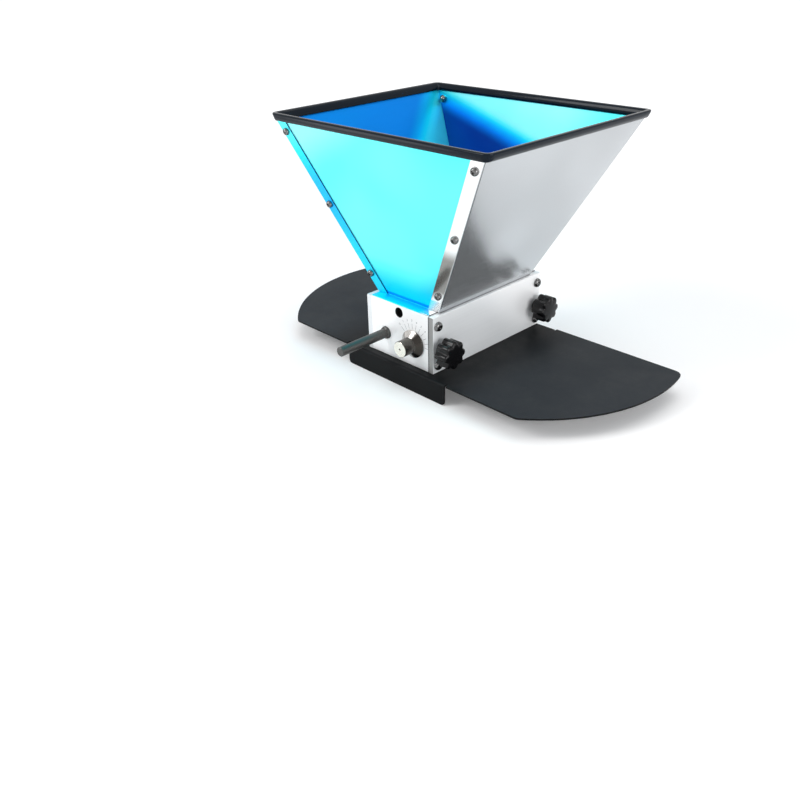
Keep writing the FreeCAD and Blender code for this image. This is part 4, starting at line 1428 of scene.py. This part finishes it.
class MILL_OT_dials(bpy.types.Operator):
    """Turned dials with a bevelled flange, a round handle and an index line"""

    bl_idname = "mill.dials"
    bl_label = "Gap dials"

    def execute(self, context):
        colours = colours_of(context)
        scale = context.scene.mill_scale
        at_middle = ray(scale.first + (scale.ticks - 1) / 2 * scale.step)
        for end, out in ENDS.items():
            dial, sleeve = end + "_gap_dial", end + "_idler_sleeve"
            place, bore = middle(dial), middle(sleeve)
            face = span(end + "_end_plate", out)[1]
            inner, tip = [reach - face for reach in span(dial, out)]
            near, far = span(sleeve, ALONG)
            origin = Vector((place.x, out.y * face, place.z))
            body = turned(dial_profile(inner, tip), origin, out, 96)
            bore_start = origin + out * (inner - 1 * MM)
            bore_start.x, bore_start.z = bore.x, bore.z
            body = bored(body, bore_start, out, radius_of(sleeve) + SLIT, 0, far - near + 1 * MM, 72)
            body = combined(body, index_cut(origin, out, tip, at_middle))
            tip_y = origin.y + out.y * tip
            shoulder = tip_y - out.y * HANDLE_LONG
            # Painted shade on the handle, and a painted highlight on the end face
            bands = ((shoulder - out.y * 0.2 * MM, shoulder + out.y * 0.1 * MM, colours.dial),
                     (tip_y - out.y * 0.25 * MM, tip_y - out.y * 0.05 * MM, DIAL_FACE_HIGHLIGHT))
            steel = turned_metal("dial_steel_" + end, DIAL_BEVEL, place, 0.14, 0.26, 2600.0, bands,
                                 DIAL_SHADE)
            show(dial + "_turned", shaded(body, 30), steel, end + "_adjuster", "dial_steel", dial)
        return {"FINISHED"}


def knob_blank(origin, radius, long):
    """Turned blank of a knob along X. Its points hold how far the hollows between the lobes cut in."""
    steps = [(0.0, KNOB_NECK_R - 0.4 * MM, 0.0), (0.4 * MM, KNOB_NECK_R, 0.0),
             (KNOB_NECK - 0.6 * MM, KNOB_NECK_R, 0.0), (KNOB_NECK, KNOB_NECK_R + 0.6 * MM, 0.0)]
    steps += [(KNOB_NECK + x * MM, part * radius, lobing) for x, part, lobing in KNOB_BACK]
    steps += [(long - x * MM, part * radius, lobing) for x, part, lobing in KNOB_FRONT]
    mesh = turned([(size, x) for x, size, lobing in steps], origin, ACROSS, 128)
    cuts = mesh.attributes.new("cut", "FLOAT", "POINT")
    for point, value in zip(mesh.vertices, cuts.data):
        x = point.co.x - origin.x
        value.value = min(steps, key=lambda step: abs(step[0] - x))[2]
    return mesh


class MILL_OT_knobs(bpy.types.Operator):
    """Moulded star knobs on the clamp screws"""

    bl_idname = "mill.knobs"
    bl_label = "Star knobs"

    def execute(self, context):
        black = glossy_black("knob_plastic", colours_of(context).knob, 0.08, 0.15, 900.0, 0.05,
                             Specular_IOR_Level=0.22)
        lobes = lobe_tree()
        for end in ENDS:
            knob, stud = end + "_star_knob", end + "_clamp_stud"
            low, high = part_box(knob)
            centre = middle(knob)
            origin = Vector((low.x, centre.y, centre.z))
            radius = radius_of(knob)
            mesh = grown(lobes, knob_blank(origin, radius, high.x - low.x), Axis=origin, Radius=radius,
                         Lobes=KNOB_LOBES, Hollow=KNOB_SCALLOP, Narrowness=3.0, Finish=black)
            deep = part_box(stud)[1].x - low.x
            mesh = bored(mesh, origin, ACROSS, radius_of(stud) + SLIT, -1 * MM, deep, 48)
            show(knob + "_moulded", shaded(mesh, 40), black, end + "_clamp_screw", "black_plastic", knob)
        return {"FINISHED"}


class MILL_OT_inner(bpy.types.Operator):
    """Finishes of the small inner pieces that keep the frame's own shape"""

    bl_idname = "mill.inner"
    bl_label = "Inner pieces"

    def execute(self, context):
        bronze = plain("bush_bronze", BRONZE, 0.30, 0.45, Metallic=1.0)
        pad = plain("pad_nylon", NYLON, 0.40, 0.55)
        steel = screw_finish(context)
        paint_node("tie_rod", steel)
        for end in ENDS:
            for piece, material in (("drive_bush", bronze), ("idler_sleeve", bronze), ("clamp_pad", pad),
                                    ("clamp_stud", steel)):
                paint_node(end + "_" + piece, material)
        return {"FINISHED"}


def number_mesh(text, height, depth, place, turn):
    """A number facing -Y at a place, turned clockwise."""
    curve = bpy.data.curves.new("number", "FONT")
    curve.body = text
    curve.size = height / FIGURE_SHARE
    curve.extrude = depth / 2
    curve.align_x = "CENTER"
    curve.align_y = "CENTER"
    curve.resolution_u = 3
    mesh = evaluated(added("number", curve))
    stood = Matrix.Rotation(turn, 4, "Y") @ Matrix.Rotation(math.pi / 2, 4, "X")
    mesh.transform(Matrix.Translation(place) @ stood)
    return mesh


class MILL_OT_scale(bpy.types.Operator):
    """Lines and plain numbers round the front dial"""

    bl_idname = "mill.scale"
    bl_label = "Dial scale"

    def execute(self, context):
        scale = context.scene.mill_scale
        ink = plain("scale_ink", colours_of(context).ink, 0.45, 0.60)
        centre = middle("front_gap_dial")
        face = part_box("front_end_plate")[0].y
        origin = Vector((centre.x, face - INK_DEEP / 2 + INK_SUNK, centre.z))
        axis = bpy.data.meshes.new("axis")
        axis.from_pydata([(0, 0, 0)], [], [])
        lines = grown(tick_tree(), axis, Lines=scale.ticks, First=scale.first, Step=scale.step,
                      Inner=scale.inner, Outer=scale.outer, Width=scale.width, Depth=INK_DEEP,
                      Finish=ink)
        lines.transform(Matrix.Translation(origin))
        meshes = [lines]
        for i in range(scale.ticks):
            turn = scale.first + i * scale.step
            place = origin + scale.numbers * ray(turn)
            if place.x + scale.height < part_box("front_gap_dial")[1].x + PLATE_REST:
                meshes.append(number_mesh(str(i), scale.height, INK_DEEP, place, turn))
        show("dial_scale", merged(meshes), ink, "mill", "body_plate")
        return {"FINISHED"}


# Studio


def seen_rays(tree):
    """1 for the rays that see the backdrop: from the camera, in gloss and through glass."""
    path = node(tree, "ShaderNodeLightPath").outputs
    return maths(tree, "MAXIMUM", path["Is Camera Ray"],
                 maths(tree, "MAXIMUM", path["Is Glossy Ray"], path["Is Transmission Ray"]))


def paper_floor(studio):
    """Wide pale floor that grows brighter with its distance, so that it ends in the backdrop."""
    paper, tree, shader, place = finish("paper_floor", Roughness=0.9, Specular_IOR_Level=0.1,
                                        Emission_Color=WHITE)
    tone = blended(tree, noise(tree, place, 0.7), PAPER_DARK, PAPER_LIGHT)
    away = vectors(tree, "LENGTH", place)
    glow = mapped(tree, away, 0.5, 2.0, studio.paper, studio.far_paper)
    wired(tree, shader, Base_Color=tone, Emission_Strength=times(tree, seen_rays(tree), glow))
    bm = bmesh.new()
    bmesh.ops.create_grid(bm, x_segments=8, y_segments=8, size=14.0)
    mesh = mesh_of(bm)
    mesh.materials.append(paper)
    added("floor", mesh)


def studio_light(studio):
    """Soft light from all round, with a backdrop of its own for the rays that see it."""
    world = bpy.data.worlds.new("Studio light")
    world.use_nodes = True
    tree = world.node_tree
    tree.nodes.clear()
    height = apart(tree, node(tree, "ShaderNodeTexCoord").outputs["Generated"])["Z"]
    sky = coloured(tree, mapped(tree, height, 0.0, 1.0, smooth=False), SKY_LOW, WHITE,
                   ((0.30, SKY_MIDDLE), (0.62, SKY_MIDDLE)))
    light = node(tree, "ShaderNodeBackground", {"Color": sky, "Strength": studio.sky})
    shade = mapped(tree, height, 0.0, 0.8, 1.0, studio.backdrop)
    backdrop = node(tree, "ShaderNodeBackground", {"Color": WHITE, "Strength": shade})
    both = node(tree, "ShaderNodeMixShader",
                {0: seen_rays(tree), 1: light.outputs[0], 2: backdrop.outputs[0]})
    wired(tree, node(tree, "ShaderNodeOutputWorld").inputs, Surface=both.outputs[0])
    return world


def lamp(name, power, size, place, target):
    """A square lamp that looks at its target."""
    light = bpy.data.lights.new(name, "AREA")
    light.energy = power
    light.shape = "RECTANGLE"
    light.size = light.size_y = size
    piece = added(name, light)
    piece.location = place
    piece.rotation_euler = (Vector(target) - Vector(place)).to_track_quat("-Z", "Y").to_euler()


def studio_camera(studio):
    """Camera at its azimuth, elevation and distance from its target, turned by its roll."""
    az, el, roll = studio.azimuth, studio.elevation, studio.roll
    back = Vector((math.sin(az) * math.cos(el), -math.cos(az) * math.cos(el), math.sin(el)))
    right = Vector((math.cos(az), math.sin(az), 0))
    up = back.cross(right)
    c, s = math.cos(roll), math.sin(roll)
    right, up = c * right + s * up, c * up - s * right
    camera = bpy.data.cameras.new("camera")
    camera.sensor_width = 36
    camera.lens = studio.lens
    camera.clip_end = 50
    piece = added("camera", camera)
    turn = Matrix((right, up, back)).transposed().to_4x4()
    piece.matrix_world = Matrix.Translation(Vector(studio.target) + back * studio.distance) @ turn
    return piece


class MILL_OT_studio(bpy.types.Operator):
    """Pale floor, soft light and the camera"""

    bl_idname = "mill.studio"
    bl_label = "Studio"

    def execute(self, context):
        scene = context.scene
        studio = scene.mill_studio
        paper_floor(studio)
        scene.world = studio_light(studio)
        for name, size, place, target in LAMPS:
            lamp(name, getattr(studio, name), size, place, target)
        scene.camera = studio_camera(studio)
        scene.view_settings.view_transform = "Standard"
        return {"FINISHED"}


OPERATORS = (MILL_OT_base_plate, MILL_OT_body, MILL_OT_hopper, MILL_OT_rim, MILL_OT_screws,
             MILL_OT_rollers, MILL_OT_shafts, MILL_OT_dials, MILL_OT_knobs, MILL_OT_inner,
             MILL_OT_scale, MILL_OT_studio)


class MILL_PT_looks(bpy.types.Panel):
    """Sizes, colours and the steps that dress the mill"""

    bl_label = "Malt mill"
    bl_idname = "MILL_PT_looks"
    bl_space_type = "VIEW_3D"
    bl_region_type = "UI"
    bl_category = "Mill"

    def draw(self, context):
        for group in (context.scene.mill_sizes, context.scene.mill_finish, context.scene.mill_scale,
                      context.scene.mill_studio):
            box = self.layout.box()
            for name in group.bl_rna.properties.keys():
                if name not in ("rna_type", "name"):
                    box.prop(group, name)
        for operator in OPERATORS:
            self.layout.operator(operator.bl_idname)


SETTINGS = {"mill_sizes": MillSizes, "mill_finish": MillFinish, "mill_scale": MillScale,
            "mill_studio": MillStudio}


def register():
    for kind in (*SETTINGS.values(), *OPERATORS, MILL_PT_looks):
        bpy.utils.register_class(kind)
    for name, kind in SETTINGS.items():
        setattr(bpy.types.Scene, name, bpy.props.PointerProperty(type=kind))


def unregister():
    for name in SETTINGS:
        delattr(bpy.types.Scene, name)
    for kind in reversed((*SETTINGS.values(), *OPERATORS, MILL_PT_looks)):
        bpy.utils.unregister_class(kind)


def main():
    register()
    for operator in OPERATORS:
        getattr(bpy.ops.mill, operator.bl_idname.split(".")[1])()


if __name__ == "__main__":
    main()
